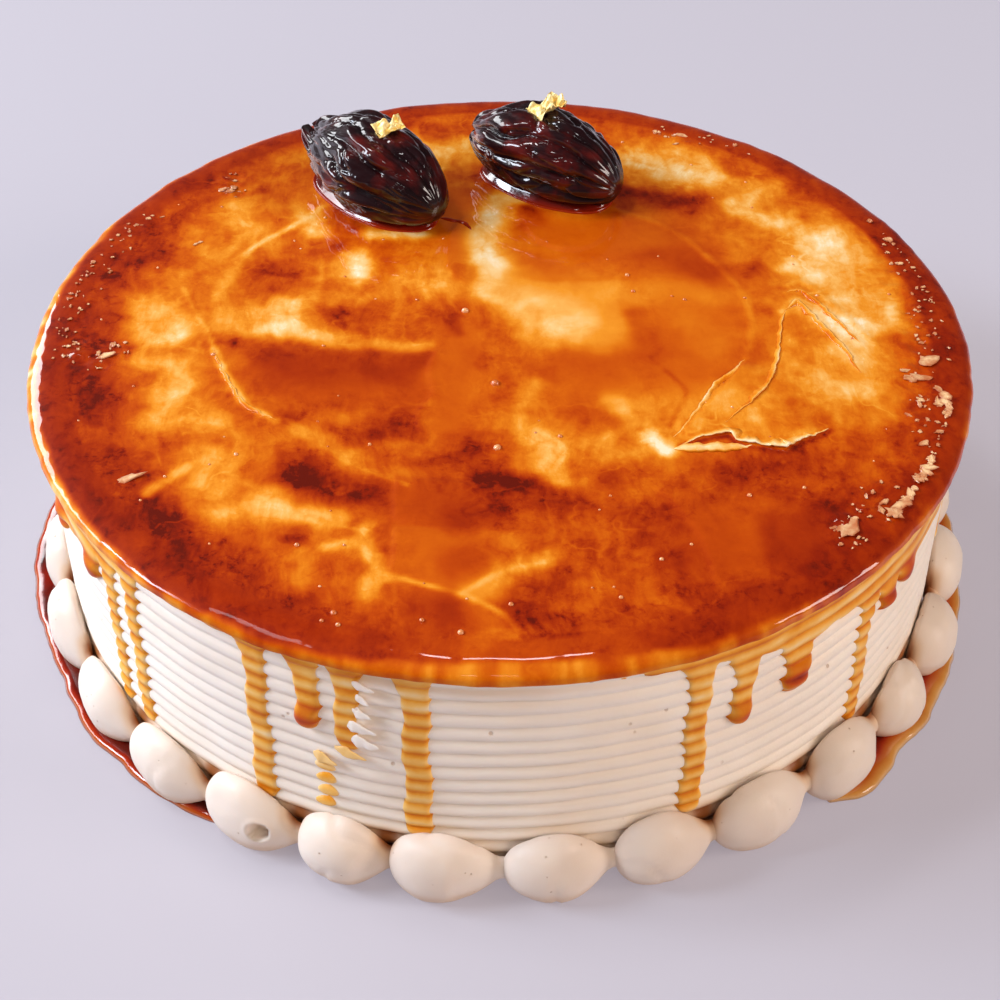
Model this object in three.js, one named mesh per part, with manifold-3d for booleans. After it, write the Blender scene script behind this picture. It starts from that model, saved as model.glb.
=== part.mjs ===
// A round date cake. A cream-covered cake with a combed side carries a poured caramel glaze that
// runs over its edge, a border of piped cream shells at its foot, two glazed dates with gold leaf,
// and thin caramel pools where the runs reach the foot.
// Millimetres, +Z up, origin at the middle of the flat base. The dates lie on the +Y half.
import * as THREE from "three";
import { mergeVertices } from "three/addons/utils/BufferGeometryUtils.js";
import loadManifold from "manifold-3d";

const wasm = await loadManifold();
wasm.setup();

// Driving sizes of the whole cake
const LIP_RADIUS = 99.2;
const GLAZE_TOP = 61.3;
const GLAZE_DEPTH = 3.5;
const SIDE_RADIUS = 96.6;
const RIDGE_PITCH = 3.6;
const RIDGE_COUNT = 15;
const RIDGE_DEPTH = 0.8;
const GAP = 0.3;
const TURN_SEGMENTS = 60;

// Glaze: its rounded lip, the film below the lip and the relief on top
const CREAM_TOP = GLAZE_TOP - GLAZE_DEPTH - GAP;
const GLAZE_UNDERSIDE = GLAZE_TOP - GLAZE_DEPTH;
const LIP_ROUND = 2;
const GLAZE_EDGE_RADIUS = LIP_RADIUS - LIP_ROUND;
const FILM_INSIDE = SIDE_RADIUS + GAP;
const FILM_THICKNESS = 0.9;
const FILM_DROP = 0.8;
const FILM_EXTRA_DROP = 11.5;
const FILM_WAVE = 0.9;
const FILM_WAVES = 9;
const LIP_UNDERCUT = 0.4;
const TOP_RINGS = [92, 82, 71, 60, 48, 35, 18];
const SWELLS = [
  { x: 54, y: -22, reach: 15, rise: 0.9 },
  { x: 66, y: 6, reach: 13, rise: 0.6 },
  { x: -50, y: -12, reach: 20, rise: 0.45 },
  { x: -4, y: 28, reach: 14, rise: 0.5 },
  { x: -10, y: -72, reach: 18, rise: 0.4 },
  { x: -6, y: -30, reach: 22, rise: -0.5 },
];

// Folds that the palette knife left in the top, as the lines of their crests
const FOLD_RADIUS = 0.9;
const FOLD_STEPS = 8;
const FOLDS = [
  [[33, -38], [42, -27], [51, -13], [56, 2]],
  [[33, -38], [46, -41], [58, -38], [66, -31]],
  [[62, 14], [69, 9], [74, 0], [77, -9]],
  [[-62, -1], [-59, -13], [-53, -23], [-46, -31]],
];

// Runs of glaze down the side: azimuth in degrees, height of the lower end, width
const RUN_THICKNESS = 1.1;
const RUN_SUNK = 0.15;
const RUN_ROOT = 1;
const RUN_NECK = 0.78;
const RUNS = [
  { at: -157.2, end: 48, width: 5.6 },
  { at: -146.3, end: 42, width: 5.2 },
  { at: -142, end: 22, width: 4.2 },
  { at: -138, end: 18, width: 4.4 },
  { at: -118.2, end: 19, width: 5.2 },
  { at: -110.7, end: 40, width: 5.6 },
  { at: -108.2, end: 22, width: 5.2 },
  { at: -99.2, end: 18.5, width: 6 },
  { at: -67.6, end: 18.5, width: 5.4 },
  { at: -61.9, end: 33.5, width: 5 },
  { at: -54, end: 35, width: 5.8 },
  { at: -42.3, end: 18.5, width: 5 },
  { at: -38, end: 39, width: 4.8 },
  { at: -33.9, end: 41, width: 4.8 },
  { at: -14, end: 24, width: 5 },
  { at: 7, end: 41, width: 5.6 },
  { at: 19, end: 19, width: 5.2 },
  { at: 41, end: 33, width: 5.6 },
  { at: 63, end: 19, width: 5.8 },
  { at: 79, end: 45, width: 5 },
  { at: 98, end: 19, width: 5.4 },
  { at: 117, end: 36, width: 5.8 },
  { at: 139, end: 19, width: 5 },
  { at: 161, end: 29, width: 5.4 },
];

// Dry flakes that stand out of the glaze near its rim, most of them on the right
const FLAKE_COUNT = 20;
const FLAKE_RADIUS_RANGE = [84, 94];
const FLAKE_MIDDLE = -28;
const FLAKE_SPREAD = 60;
const FLAKE_SIZE = [2.2, 1.3, 0.6];
const FLAKE_SCALE_RANGE = [0.6, 1.3];
const FLAKE_TILT = 0.25;
const FLAKE_LIFT = 0.1;

// Piped shells of the foot border
const SHELL_COUNT = 28;
const SHELL_HEIGHT_RANGE = [15.6, 17.6];
const SHELL_REACH_RANGE = [103.2, 104];
const SHELL_UNEVEN = 2.2;
const SHELL_UNEVEN_SIDE = -30;
const SHELL_INSIDE = SIDE_RADIUS + 0.4;
const SHELL_SPINE = 2;
const SHELL_TAPER = 0.22;
const SHELL_WAIST = 0.44;
const SHELL_FULLEST = 0.3;
const SHELL_SIDES = 10;
const SHELL_STATIONS = 7;
const SHELL_SPACING = 360 / SHELL_COUNT;
const SHELL_FRONT = { number: 8, azimuth: -83 };
const SHELL_SWAY = 2.1;

// Dates on the glaze, each lying with its narrow tip towards its bearing
const DATE_SIDES = 20;
const DATE_STATIONS = 12;
const DATE_SEAT = GLAZE_TOP + 0.7;
const DATE_TAPER = 0.12;
const DATE_WAIST = 0.46;
const DATE_WRINKLES = [
  { folds: 6, depth: 0.05, twist: 2, shift: 1 },
  { folds: 9, depth: 0.035, twist: -3, shift: 2 },
];
const DATES = {
  date_left: { x: -28.5, y: 51.5, length: 44, width: 24, height: 18.5, bearing: -44.5, phase: 0.4 },
  date_right: { x: 11, y: 57, length: 41, width: 21.5, height: 18, bearing: -33, phase: 2.1 },
};
const LEAF = { length: 7, width: 5, thickness: 0.5, wave: 0.7, waveLength: 7.5, sunk: 0.2 };
const LEAF_SPOTS = {
  date_left: { along: 0.03, across: 0.12, turn: 25 },
  date_right: { along: -0.08, across: 0.2, turn: -35 },
};

// Caramel pools round the foot: first and last azimuth, and how far out they reach at each
const POOL_DEPTH = 1.2;
const POOL_INSIDE = 100.6;
const POOL_STEP = 3;
const POOL_END_SHARE = 0.35;
const POOL_END_STEEPNESS = 6;
const POOL_WAVES = [
  { size: 0.5, rate: 1.7, shift: 0 },
  { size: 0.35, rate: 0.8, shift: 1 },
];
const POOLS = {
  caramel_pool_left: { from: -204, to: -126, reachFrom: 107.6, reachTo: 103.4 },
  caramel_pool_right: { from: -48, to: 22, reachFrom: 106.4, reachTo: 107 },
};

const finish = {
  cream: new THREE.MeshStandardMaterial({ color: 0xf1e6da, roughness: 0.55, metalness: 0 }),
  shell: new THREE.MeshStandardMaterial({ color: 0xeadccb, roughness: 0.5, metalness: 0 }),
  glaze: new THREE.MeshStandardMaterial({ color: 0xb85a14, roughness: 0.15, metalness: 0 }),
  pool: new THREE.MeshStandardMaterial({ color: 0x6e1e0a, roughness: 0.1, metalness: 0 }),
  date: new THREE.MeshStandardMaterial({ color: 0x2a1014, roughness: 0.15, metalness: 0 }),
};

// The same draw for the same index and use, between 0 and 1
function draw(index, use = 0) {
  const value = Math.sin(index * 127.1 + use * 269.5 + 311.7) * 43758.5453;
  return value - Math.floor(value);
}

function drawBetween([low, high], index, use) {
  return THREE.MathUtils.lerp(low, high, draw(index, use));
}

function radians(degrees) {
  return THREE.MathUtils.degToRad(degrees);
}

function polar(radius, degrees, height) {
  const angle = radians(degrees);
  return new THREE.Vector3(radius * Math.cos(angle), radius * Math.sin(angle), height);
}

function reshape(geometry, move) {
  const position = geometry.attributes.position;
  const point = new THREE.Vector3();
  for (let i = 0; i < position.count; i += 1) {
    point.fromBufferAttribute(position, i);
    move(point);
    position.setXYZ(i, point.x, point.y, point.z);
  }
  return geometry;
}

function turned(profile) {
  const points = profile.map(([radius, height]) => new THREE.Vector2(radius, height));
  return new THREE.LatheGeometry(points, TURN_SEGMENTS).rotateX(Math.PI / 2);
}

function toSolid(geometry) {
  const bare = geometry.clone();
  bare.deleteAttribute("normal");
  bare.deleteAttribute("uv");
  const merged = mergeVertices(bare, 1e-4);
  const vertProperties = new Float32Array(merged.attributes.position.array);
  const triVerts = new Uint32Array(merged.index.array);
  return new wasm.Manifold(new wasm.Mesh({ numProp: 3, vertProperties, triVerts }));
}

function toGeometry(solid) {
  const mesh = solid.getMesh();
  const geometry = new THREE.BufferGeometry();
  geometry.setAttribute("position", new THREE.BufferAttribute(mesh.vertProperties, 3));
  geometry.setIndex(new THREE.BufferAttribute(mesh.triVerts, 1));
  geometry.computeVertexNormals();
  return geometry;
}

// The cake: a solid of revolution with comb ridges up its side and a soft shoulder at the top
function creamCake() {
  const groove = SIDE_RADIUS - RIDGE_DEPTH;
  const profile = [[0, 0], [groove, 0]];
  for (let ridge = 0; ridge < RIDGE_COUNT; ridge += 1) {
    profile.push([SIDE_RADIUS, (ridge + 0.5) * RIDGE_PITCH]);
    profile.push([groove, (ridge + 1) * RIDGE_PITCH]);
  }
  const shoulder = CREAM_TOP - RIDGE_COUNT * RIDGE_PITCH;
  profile.push([SIDE_RADIUS, CREAM_TOP - shoulder * 0.6]);
  profile.push([SIDE_RADIUS - shoulder * 0.15, CREAM_TOP - shoulder * 0.2]);
  profile.push([SIDE_RADIUS - shoulder * 0.5, CREAM_TOP]);
  profile.push([0, CREAM_TOP]);
  return turned(profile);
}

// How far the film of glaze hangs below the lip: little at the front and back, far at the sides
function filmDrop(angle) {
  const side = Math.cos(angle) ** 2;
  return FILM_DROP + FILM_EXTRA_DROP * side + FILM_WAVE * side * Math.sin(FILM_WAVES * angle);
}

function topRelief(x, y) {
  let rise = 0;
  for (const swell of SWELLS) {
    const far = ((x - swell.x) ** 2 + (y - swell.y) ** 2) / swell.reach ** 2;
    rise += swell.rise * Math.exp(-far);
  }
  return rise;
}

// The sheet of glaze with its overhanging rounded lip
function glazeSheet() {
  const lipUnder = GLAZE_UNDERSIDE - LIP_UNDERCUT;
  const filmOutside = FILM_INSIDE + FILM_THICKNESS;
  const profile = [
    [0, GLAZE_UNDERSIDE],
    [FILM_INSIDE, GLAZE_UNDERSIDE],
    [FILM_INSIDE, lipUnder],
    [filmOutside, lipUnder],
    [LIP_RADIUS - 0.3 * LIP_ROUND, GLAZE_UNDERSIDE],
    [LIP_RADIUS, GLAZE_UNDERSIDE + 0.35 * GLAZE_DEPTH],
    [LIP_RADIUS - 0.25 * LIP_ROUND, GLAZE_UNDERSIDE + 0.75 * GLAZE_DEPTH],
    [GLAZE_EDGE_RADIUS, GLAZE_TOP],
  ];
  for (const radius of TOP_RINGS) {
    profile.push([radius, GLAZE_TOP]);
  }
  profile.push([0, GLAZE_TOP]);
  return reshape(turned(profile), (point) => {
    const below = point.z < GLAZE_UNDERSIDE - LIP_UNDERCUT / 2;
    const onTop = point.z > GLAZE_TOP - LIP_UNDERCUT / 2;
    const inside = Math.hypot(point.x, point.y) < GLAZE_EDGE_RADIUS - LIP_ROUND / 2;
    if (below) {
      point.z -= filmDrop(Math.atan2(point.y, point.x));
    } else if (onTop && inside) {
      point.z += topRelief(point.x, point.y);
    }
  });
}

// One run of glaze: a flattened capsule bent round the side, fuller at its lower end
function run({ at, end, width }) {
  const half = width / 2;
  const length = GLAZE_UNDERSIDE + RUN_ROOT - end;
  const capsule = new THREE.CapsuleGeometry(1, 2, 2, 6).rotateX(Math.PI / 2);
  return reshape(capsule, (point) => {
    const height = THREE.MathUtils.mapLinear(point.z, -2, 2, 0, length);
    const full = RUN_NECK + (1 - RUN_NECK) * Math.exp(-height / width);
    const depth = RUN_SUNK + RUN_THICKNESS * Math.max(point.y, 0);
    const across = THREE.MathUtils.radToDeg(half * full * point.x / SIDE_RADIUS);
    point.copy(polar(FILM_INSIDE + depth, at - across, end + height));
  });
}

// One fold of the top: a low rounded welt along its crest line
function fold(crest) {
  const points = crest.map(([x, y]) => new THREE.Vector3(x, y, GLAZE_TOP + topRelief(x, y)));
  const section = new THREE.Shape().absarc(0, 0, FOLD_RADIUS, 0, 2 * Math.PI);
  return new THREE.ExtrudeGeometry(section, {
    extrudePath: new THREE.CatmullRomCurve3(points),
    steps: FOLD_STEPS,
    curveSegments: 5,
    bevelEnabled: false,
  });
}

// One dry flake: a squashed octahedron tilted out of the glaze
function flake(index) {
  const side = draw(index, 1) + draw(index, 2) - 1;
  const radius = drawBetween(FLAKE_RADIUS_RANGE, index, 3);
  const place = polar(radius, FLAKE_MIDDLE + FLAKE_SPREAD * side, GLAZE_TOP + FLAKE_LIFT);
  place.z += topRelief(place.x, place.y);
  const geometry = new THREE.OctahedronGeometry(drawBetween(FLAKE_SCALE_RANGE, index, 4), 0);
  geometry.scale(...FLAKE_SIZE);
  geometry.rotateX(drawBetween([-FLAKE_TILT, FLAKE_TILT], index, 5));
  geometry.rotateZ(2 * Math.PI * draw(index, 6));
  return geometry.translate(place.x, place.y, place.z);
}

function caramelGlaze() {
  let solid = toSolid(glazeSheet());
  for (const spec of RUNS) {
    solid = solid.add(toSolid(run(spec)));
  }
  for (const crest of FOLDS) {
    solid = solid.add(toSolid(fold(crest)));
  }
  for (let index = 0; index < FLAKE_COUNT; index += 1) {
    solid = solid.add(toSolid(flake(index)));
  }
  return toGeometry(solid);
}

function shellAzimuth(number) {
  const step = number - SHELL_FRONT.number;
  const sway = SHELL_SWAY * Math.sin(4 * Math.PI * step / SHELL_COUNT);
  return SHELL_FRONT.azimuth + SHELL_SPACING * step - sway;
}

// One piped shell: a teardrop lying along the foot, fat at its head and tapering to its tail,
// with a flat foot and a flattened inner side. A larger one, grown all round, cuts the pools.
function pipedShell(number, grow = 0) {
  const here = shellAzimuth(number);
  const gapAngle = THREE.MathUtils.radToDeg((0.5 * GAP - grow) / SIDE_RADIUS);
  const first = (shellAzimuth(number - 1) + here) / 2 + gapAngle;
  const last = (here + shellAzimuth(number + 1)) / 2 - gapAngle;
  const uneven = SHELL_UNEVEN * Math.cos(radians(here - SHELL_UNEVEN_SIDE));
  const reach = drawBetween(SHELL_REACH_RANGE, number, 7) + uneven + grow;
  const height = drawBetween(SHELL_HEIGHT_RANGE, number, 8) + grow;
  const tailStation = Math.cos(Math.PI / SHELL_STATIONS);
  const sphere = new THREE.SphereGeometry(1, SHELL_SIDES, SHELL_STATIONS);
  return reshape(sphere, (point) => {
    const along = Math.min(point.y, tailStation);
    const full = (1 - SHELL_TAPER * along) / (1 + SHELL_TAPER * SHELL_FULLEST);
    const outer = point.x > 0 ? reach - SHELL_INSIDE - SHELL_SPINE : SHELL_SPINE;
    const radius = SHELL_INSIDE + full * (SHELL_SPINE + point.x * outer);
    const rise = full * height * (SHELL_WAIST + (1 - SHELL_WAIST) * point.z);
    const azimuth = THREE.MathUtils.mapLinear(along, -1, tailStation, first, last);
    point.copy(polar(radius, azimuth, Math.max(rise, 0)));
  });
}

// A wavy scrap of gold leaf, thick enough to be one closed body
function goldLeaf({ along, across, turn }, { length, width, height }) {
  const scrap = new THREE.BoxGeometry(LEAF.length, LEAF.width, LEAF.thickness, 3, 2, 1);
  const rate = 2 * Math.PI / LEAF.waveLength;
  reshape(scrap, (point) => {
    point.z += LEAF.wave * Math.sin(rate * point.x) * Math.cos(rate * point.y);
  });
  scrap.rotateZ(radians(turn));
  const top = height * (1 - 2 * along * along - across * across);
  return scrap.translate(along * length, across * width, top - LEAF.sunk);
}

// One date: a plump oval with lengthwise wrinkles, a blunt stem end and a narrower tip
function dateFruit(name) {
  const { length, width, height, phase } = DATES[name];
  const sphere = new THREE.SphereGeometry(1, DATE_SIDES, DATE_STATIONS).rotateZ(-Math.PI / 2);
  const body = reshape(sphere, (point) => {
    const along = point.x;
    const angle = Math.atan2(point.z, point.y);
    let full = 1 - DATE_TAPER * along;
    for (const { folds, depth, twist, shift } of DATE_WRINKLES) {
      full *= 1 + depth * Math.sin(folds * angle + twist * along + shift * phase);
    }
    point.x = along * length / 2;
    point.y *= full * width / 2;
    point.z = Math.max(height * (DATE_WAIST + (1 - DATE_WAIST) * full * point.z), 0);
  });
  return toGeometry(toSolid(body).add(toSolid(goldLeaf(LEAF_SPOTS[name], DATES[name]))));
}

// One pool: a thin sheet with a wavy outer edge, cut clear of the shells that it runs against
function caramelPool({ from, to, reachFrom, reachTo }) {
  const steps = Math.round((to - from) / POOL_STEP);
  const outer = [];
  const inner = [];
  for (let step = 0; step <= steps; step += 1) {
    const part = step / steps;
    const azimuth = from + (to - from) * part;
    let reach = THREE.MathUtils.lerp(reachFrom, reachTo, part);
    for (const { size, rate, shift } of POOL_WAVES) {
      reach += size * Math.sin(rate * step + shift);
    }
    const ends = Math.min(1, POOL_END_STEEPNESS * part, POOL_END_STEEPNESS * (1 - part));
    const width = (reach - POOL_INSIDE) * THREE.MathUtils.lerp(POOL_END_SHARE, 1, ends);
    outer.push(polar(POOL_INSIDE + width, azimuth, 0));
    inner.unshift(polar(POOL_INSIDE, azimuth, 0));
  }
  const outline = new THREE.Shape([...outer, ...inner].map(({ x, y }) => new THREE.Vector2(x, y)));
  const sheet = new THREE.ExtrudeGeometry(outline, { depth: POOL_DEPTH, bevelEnabled: false });
  let solid = toSolid(sheet);
  for (let number = 1; number <= SHELL_COUNT; number += 1) {
    solid = solid.subtract(toSolid(pipedShell(number, 1.2 * GAP)));
  }
  return toGeometry(solid);
}

function named(name, geometry, material) {
  const mesh = new THREE.Mesh(geometry, material);
  mesh.name = name;
  return mesh;
}

const cake = new THREE.Group();
cake.add(named("cream_cake", creamCake(), finish.cream));
cake.add(named("caramel_glaze", caramelGlaze(), finish.glaze));

for (let number = 1; number <= SHELL_COUNT; number += 1) {
  const name = `shell_${String(number).padStart(2, "0")}`;
  cake.add(named(name, pipedShell(number), finish.shell));
}

for (const [name, { x, y, bearing }] of Object.entries(DATES)) {
  const fruit = named(name, dateFruit(name), finish.date);
  fruit.position.set(x, y, DATE_SEAT);
  fruit.rotation.z = radians(bearing);
  cake.add(fruit);
}

for (const [name, spec] of Object.entries(POOLS)) {
  cake.add(named(name, caramelPool(spec), finish.pool));
}

export default cake;
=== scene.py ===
# %% [markdown]
# # A date cake under a poured caramel glaze
# The imported model is a fixed frame: every solid has its true place and size, and the pieces made
# here are laid over it. So the first thing to do is to load that frame; a helper reads the box of any
# solid in it.

# %% Load the frame
import itertools
import math

import bmesh
import bpy
import numpy as np
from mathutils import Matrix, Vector


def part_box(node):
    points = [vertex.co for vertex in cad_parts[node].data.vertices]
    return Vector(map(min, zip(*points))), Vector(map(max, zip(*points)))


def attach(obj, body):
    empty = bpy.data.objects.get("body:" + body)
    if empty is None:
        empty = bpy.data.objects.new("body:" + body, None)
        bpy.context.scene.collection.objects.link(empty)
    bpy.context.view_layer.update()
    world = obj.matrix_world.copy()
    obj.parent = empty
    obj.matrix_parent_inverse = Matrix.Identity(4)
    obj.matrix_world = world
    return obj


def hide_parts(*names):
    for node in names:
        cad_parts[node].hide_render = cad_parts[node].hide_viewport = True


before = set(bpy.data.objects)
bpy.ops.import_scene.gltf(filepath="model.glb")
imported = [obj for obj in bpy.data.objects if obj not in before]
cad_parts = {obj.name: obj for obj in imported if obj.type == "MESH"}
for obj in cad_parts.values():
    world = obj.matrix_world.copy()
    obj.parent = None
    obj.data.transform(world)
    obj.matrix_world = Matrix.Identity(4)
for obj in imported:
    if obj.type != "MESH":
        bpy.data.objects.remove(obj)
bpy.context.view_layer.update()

MM = 0.001
SHELL_NODES = sorted(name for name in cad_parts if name.startswith("shell_"))

# %% [markdown]
# ## The camera
# The photograph looks down on the cake from the front with a long lens, so the round top reads as
# an ellipse and the far rim is hardly smaller than the near one. A camera needs no more than a
# place, a tilt and a lens; the picture is square, so no shift is needed.

# %% Camera
CAMERA_PLACE = Vector((0, -333.4, 309.9)) * MM
CAMERA_PITCH = 41.6
CAMERA_LENS = 70.26

camera_data = bpy.data.cameras.new("camera")
camera_data.lens = CAMERA_LENS
camera_data.sensor_width = 36
camera = bpy.data.objects.new("camera", camera_data)
camera.location = CAMERA_PLACE
camera.rotation_euler = (math.radians(90 - CAMERA_PITCH), 0, 0)
bpy.context.collection.objects.link(camera)
bpy.context.scene.camera = camera
print("camera", round(CAMERA_PLACE.length / MM), "mm from the foot of the cake")

# %% [markdown]
# ## Finishes as arithmetic
# Food is never one flat colour: its colour follows from how thick a layer is, how wet it is and
# what grain it has. Such rules read best as plain arithmetic, so one small class wraps a node
# socket, and its operators add Math nodes. Any other node comes from its `node` method.

# %% A socket that does arithmetic
class Tone:
    """One output socket of a finish, with operators that add Math nodes."""

    def __init__(self, tree, socket=None):
        self.tree = tree
        self.socket = socket

    def node(self, kind, settings=None, sockets=None, out=0):
        """Add a node, set its settings, then fill its sockets with values or links."""
        made = self.tree.nodes.new(kind)
        for key, value in (settings or {}).items():
            if key == "stops":
                while len(made.color_ramp.elements) < len(value):
                    made.color_ramp.elements.new(1.0)
                for element, (position, colour) in zip(made.color_ramp.elements, value):
                    element.position = position
                    element.color = colour
            else:
                setattr(made, key, value)
        for key, value in (sockets or {}).items():
            if isinstance(value, Tone):
                self.tree.links.new(value.socket, made.inputs[key])
            else:
                made.inputs[key].default_value = value
        return Tone(self.tree, made.outputs[out] if made.outputs else None)

    def math(self, operation, first, second):
        return self.node("ShaderNodeMath", {"operation": operation}, {0: first, 1: second})

    def __add__(self, other):
        return self.math("ADD", self, other)

    def __sub__(self, other):
        return self.math("SUBTRACT", self, other)

    def __rsub__(self, other):
        return self.math("SUBTRACT", other, self)

    def __mul__(self, other):
        return self.math("MULTIPLY", self, other)

    __radd__ = __add__
    __rmul__ = __mul__

    def __abs__(self):
        return self.math("ABSOLUTE", self, 0.0)

    def fade(self, low, high):
        """0 below low, 1 above high, and a smooth step between them."""
        limits = {"Value": self, "From Min": low, "From Max": high}
        return self.node("ShaderNodeMapRange", {"interpolation_type": "SMOOTHSTEP"}, limits)

    def mix(self, without, full):
        """A colour that goes from one to the other as this value goes from 0 to 1."""
        return self.node("ShaderNodeMix", {"data_type": "RGBA"}, {0: self, 6: without, 7: full}, out=2)


print("sockets can be added, subtracted and multiplied")

# %% [markdown]
# A few helpers save repeating the same nodes: a colour as a screen shows it, an empty finish and the
# shader that closes it, noise, ramps, values stored on a mesh and a fine relief. Their sizes are in
# millimetres, not in scales, because a pore or a crumb has a size that can be looked up.

# %% Helpers for finishes
def colour(red, green, blue):
    """A colour as a screen shows it, from 0 to 255, as the light that Blender works with."""
    shares = [level / 255 for level in (red, green, blue)]
    light = [s / 12.92 if s <= 0.04045 else ((s + 0.055) / 1.055) ** 2.4 for s in shares]
    return (*light, 1.0)


def new_finish(name):
    """An empty finish, the tone that adds its nodes and the place on the object."""
    material = bpy.data.materials.new(name)
    material.use_nodes = True
    material.node_tree.nodes.clear()
    tone = Tone(material.node_tree)
    return material, tone, tone.node("ShaderNodeTexCoord", out="Object")


def finish_with(tone, **sockets):
    """Close a finish with one Principled shader. Underscores stand for the blanks in a name."""
    named = {key.replace("_", " "): value for key, value in sockets.items()}
    shader = tone.node("ShaderNodeBsdfPrincipled", {}, named)
    tone.node("ShaderNodeOutputMaterial", {}, {"Surface": shader})


def grain(place, size, detail=2.0, rough=0.5, warp=0.0, **settings):
    """Noise from 0 to 1 with lumps about `size` mm across."""
    sockets = {"Vector": place, "Scale": 1 / (size * MM), "Detail": detail}
    sockets.update({"Roughness": rough, "Distortion": warp})
    return place.node("ShaderNodeTexNoise", settings, sockets)


def stirred(place, size, by):
    """Places pushed about by noise, up to half of `by` mm, so that what is drawn on them swirls."""
    sockets = {"Vector": place, "Scale": 1 / (size * MM), "Detail": 2.0}
    push = place.node("ShaderNodeTexNoise", {}, sockets, out=1)
    half = (0.5, 0.5, 0.5)
    centred = place.node("ShaderNodeVectorMath", {"operation": "SUBTRACT"}, {0: push, 1: half})
    moved = {0: centred, 1: (by * MM, by * MM, by * MM), 2: place}
    return place.node("ShaderNodeVectorMath", {"operation": "MULTIPLY_ADD"}, moved)


def ramp(value, stops):
    """The colour that a row of stops gives to a value."""
    return value.node("ShaderNodeValToRGB", {"stops": stops}, {"Fac": value})


def stored(tone, name):
    """A value that was worked out for each point of a mesh and stored with it."""
    return tone.node("ShaderNodeAttribute", {"attribute_name": name}, out=2)


def relief(tone, height, depth_mm, strength=1.0):
    """A normal that is bumped by a height from 0 to 1, `depth_mm` deep."""
    sockets = {"Height": height, "Distance": depth_mm * MM, "Strength": strength}
    return tone.node("ShaderNodeBump", {}, sockets)


print("white on a screen is", colour(255, 255, 255))

# %% [markdown]
# ## Pieces as rings
# A cake, a shell, a date and a crumb are all closed bodies, and each can be drawn as a row of rings
# from one end to the other. One helper sews such rings together, also where neighbours differ in
# their number of points, so that a disc keeps triangles of even size out to its rim.

# %% Sew rings into closed bodies
def sew(first, inner, second, outer):
    """Faces between two rings that start at the points first and second."""
    if inner == 1:
        return [(first, second + k, second + (k + 1) % outer) for k in range(outer)]
    if outer == 1:
        return [(first + k, second, first + (k + 1) % inner) for k in range(inner)]
    if inner == outer:
        turn = [(k, (k + 1) % inner) for k in range(inner)]
        return [(first + k, second + k, second + n, first + n) for k, n in turn]
    faces = []
    i = 0
    j = 0
    while i < inner or j < outer:
        if j < outer and (i >= inner or (j + 1) * inner <= (i + 1) * outer):
            faces.append((first + i % inner, second + j % outer, second + (j + 1) % outer))
            j += 1
        else:
            faces.append((first + i % inner, second + j % outer, first + (i + 1) % inner))
            i += 1
    return faces


def sew_rings(rings):
    """One closed body from rings of points, in mm. A ring of one point is a pole."""
    rings = [np.atleast_2d(ring) for ring in rings]
    starts = np.cumsum([0] + [len(ring) for ring in rings])
    faces = []
    for k in range(len(rings) - 1):
        faces += sew(int(starts[k]), len(rings[k]), int(starts[k + 1]), len(rings[k + 1]))
    return np.vstack(rings), faces


def join_bodies(bodies):
    """Many closed bodies as the points and faces of one mesh."""
    points = []
    faces = []
    count = 0
    for body_points, body_faces in bodies:
        points.append(body_points)
        faces += [tuple(count + k for k in face) for face in body_faces]
        count += len(body_points)
    return np.vstack(points), faces


print("a pole and a ring of six make", len(sew(0, 1, 1, 6)), "faces")

# %% [markdown]
# Every shown piece is made the same way: its points become a mesh, its faces are turned outwards,
# and values for its finish are stored on its points. Then its material is added, it is hung on the
# frame's root body, and the solids that it stands for are hidden.

# %% Make a piece from a body
def make_piece(name, body, material, nodes=(), fields=None, smooth=True):
    """A shown piece from a body in mm, with values stored on its points, riding on the cake."""
    points, faces = body
    mesh = bpy.data.meshes.new(name)
    mesh.from_pydata((np.asarray(points, float) * MM).tolist(), [], faces)
    shape = bmesh.new()
    shape.from_mesh(mesh)
    bmesh.ops.recalc_face_normals(shape, faces=shape.faces)
    shape.to_mesh(mesh)
    shape.free()
    for field, values in (fields or {}).items():
        attribute = mesh.attributes.new(field, "FLOAT", "POINT")
        attribute.data.foreach_set("value", np.asarray(values, np.float32))
    mesh.polygons.foreach_set("use_smooth", np.full(len(mesh.polygons), smooth))
    mesh.materials.append(material)
    piece = bpy.data.objects.new(name, mesh)
    bpy.context.collection.objects.link(piece)
    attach(piece, "root")
    if nodes:
        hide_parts(*nodes)
    triangles = sum(len(face) - 2 for face in faces)
    print(name, "has", triangles, "triangles")
    return piece


print("pieces will replace", len(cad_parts), "solids")

# %% [markdown]
# ## Unevenness
# Nothing here is machine made: ridges waver, edges fray and surfaces dimple. Blender's own noise
# nodes only bump the look of a surface, so shapes get a lattice noise in numpy, which moves points.
# Its table is drawn once from a fixed seed, so each run gives the same cake.

# %% Noise for shapes
LATTICE_SIZE = 4096
LATTICE = np.random.default_rng(7).uniform(-1, 1, LATTICE_SIZE)
LATTICE_KEYS = np.array((1619, 31337, 6971))
LATTICE_SHIFT = 17.3
LATTICE_SPAN = 1.6


def lumps(points, size, seed=0, layers=1):
    """A smooth random field from about -1 to 1, with lumps about `size` mm across."""
    total = np.zeros(len(points))
    full = 0.0
    for layer in range(layers):
        weight = 0.5 ** layer
        shift = LATTICE_SHIFT * (seed + 5 * layer + 1)
        place = np.asarray(points, float) * 2 ** layer / size + shift
        cell = np.floor(place).astype(np.int64)
        part = place - cell
        near = part ** 3 * (part * (6 * part - 15) + 10)
        for corner in itertools.product((0, 1), repeat=3):
            share = np.prod(np.where(corner, near, 1 - near), axis=1)
            total += weight * share * LATTICE[((cell + corner) @ LATTICE_KEYS) % LATTICE_SIZE]
        full += weight
    return total / full * LATTICE_SPAN


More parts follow.
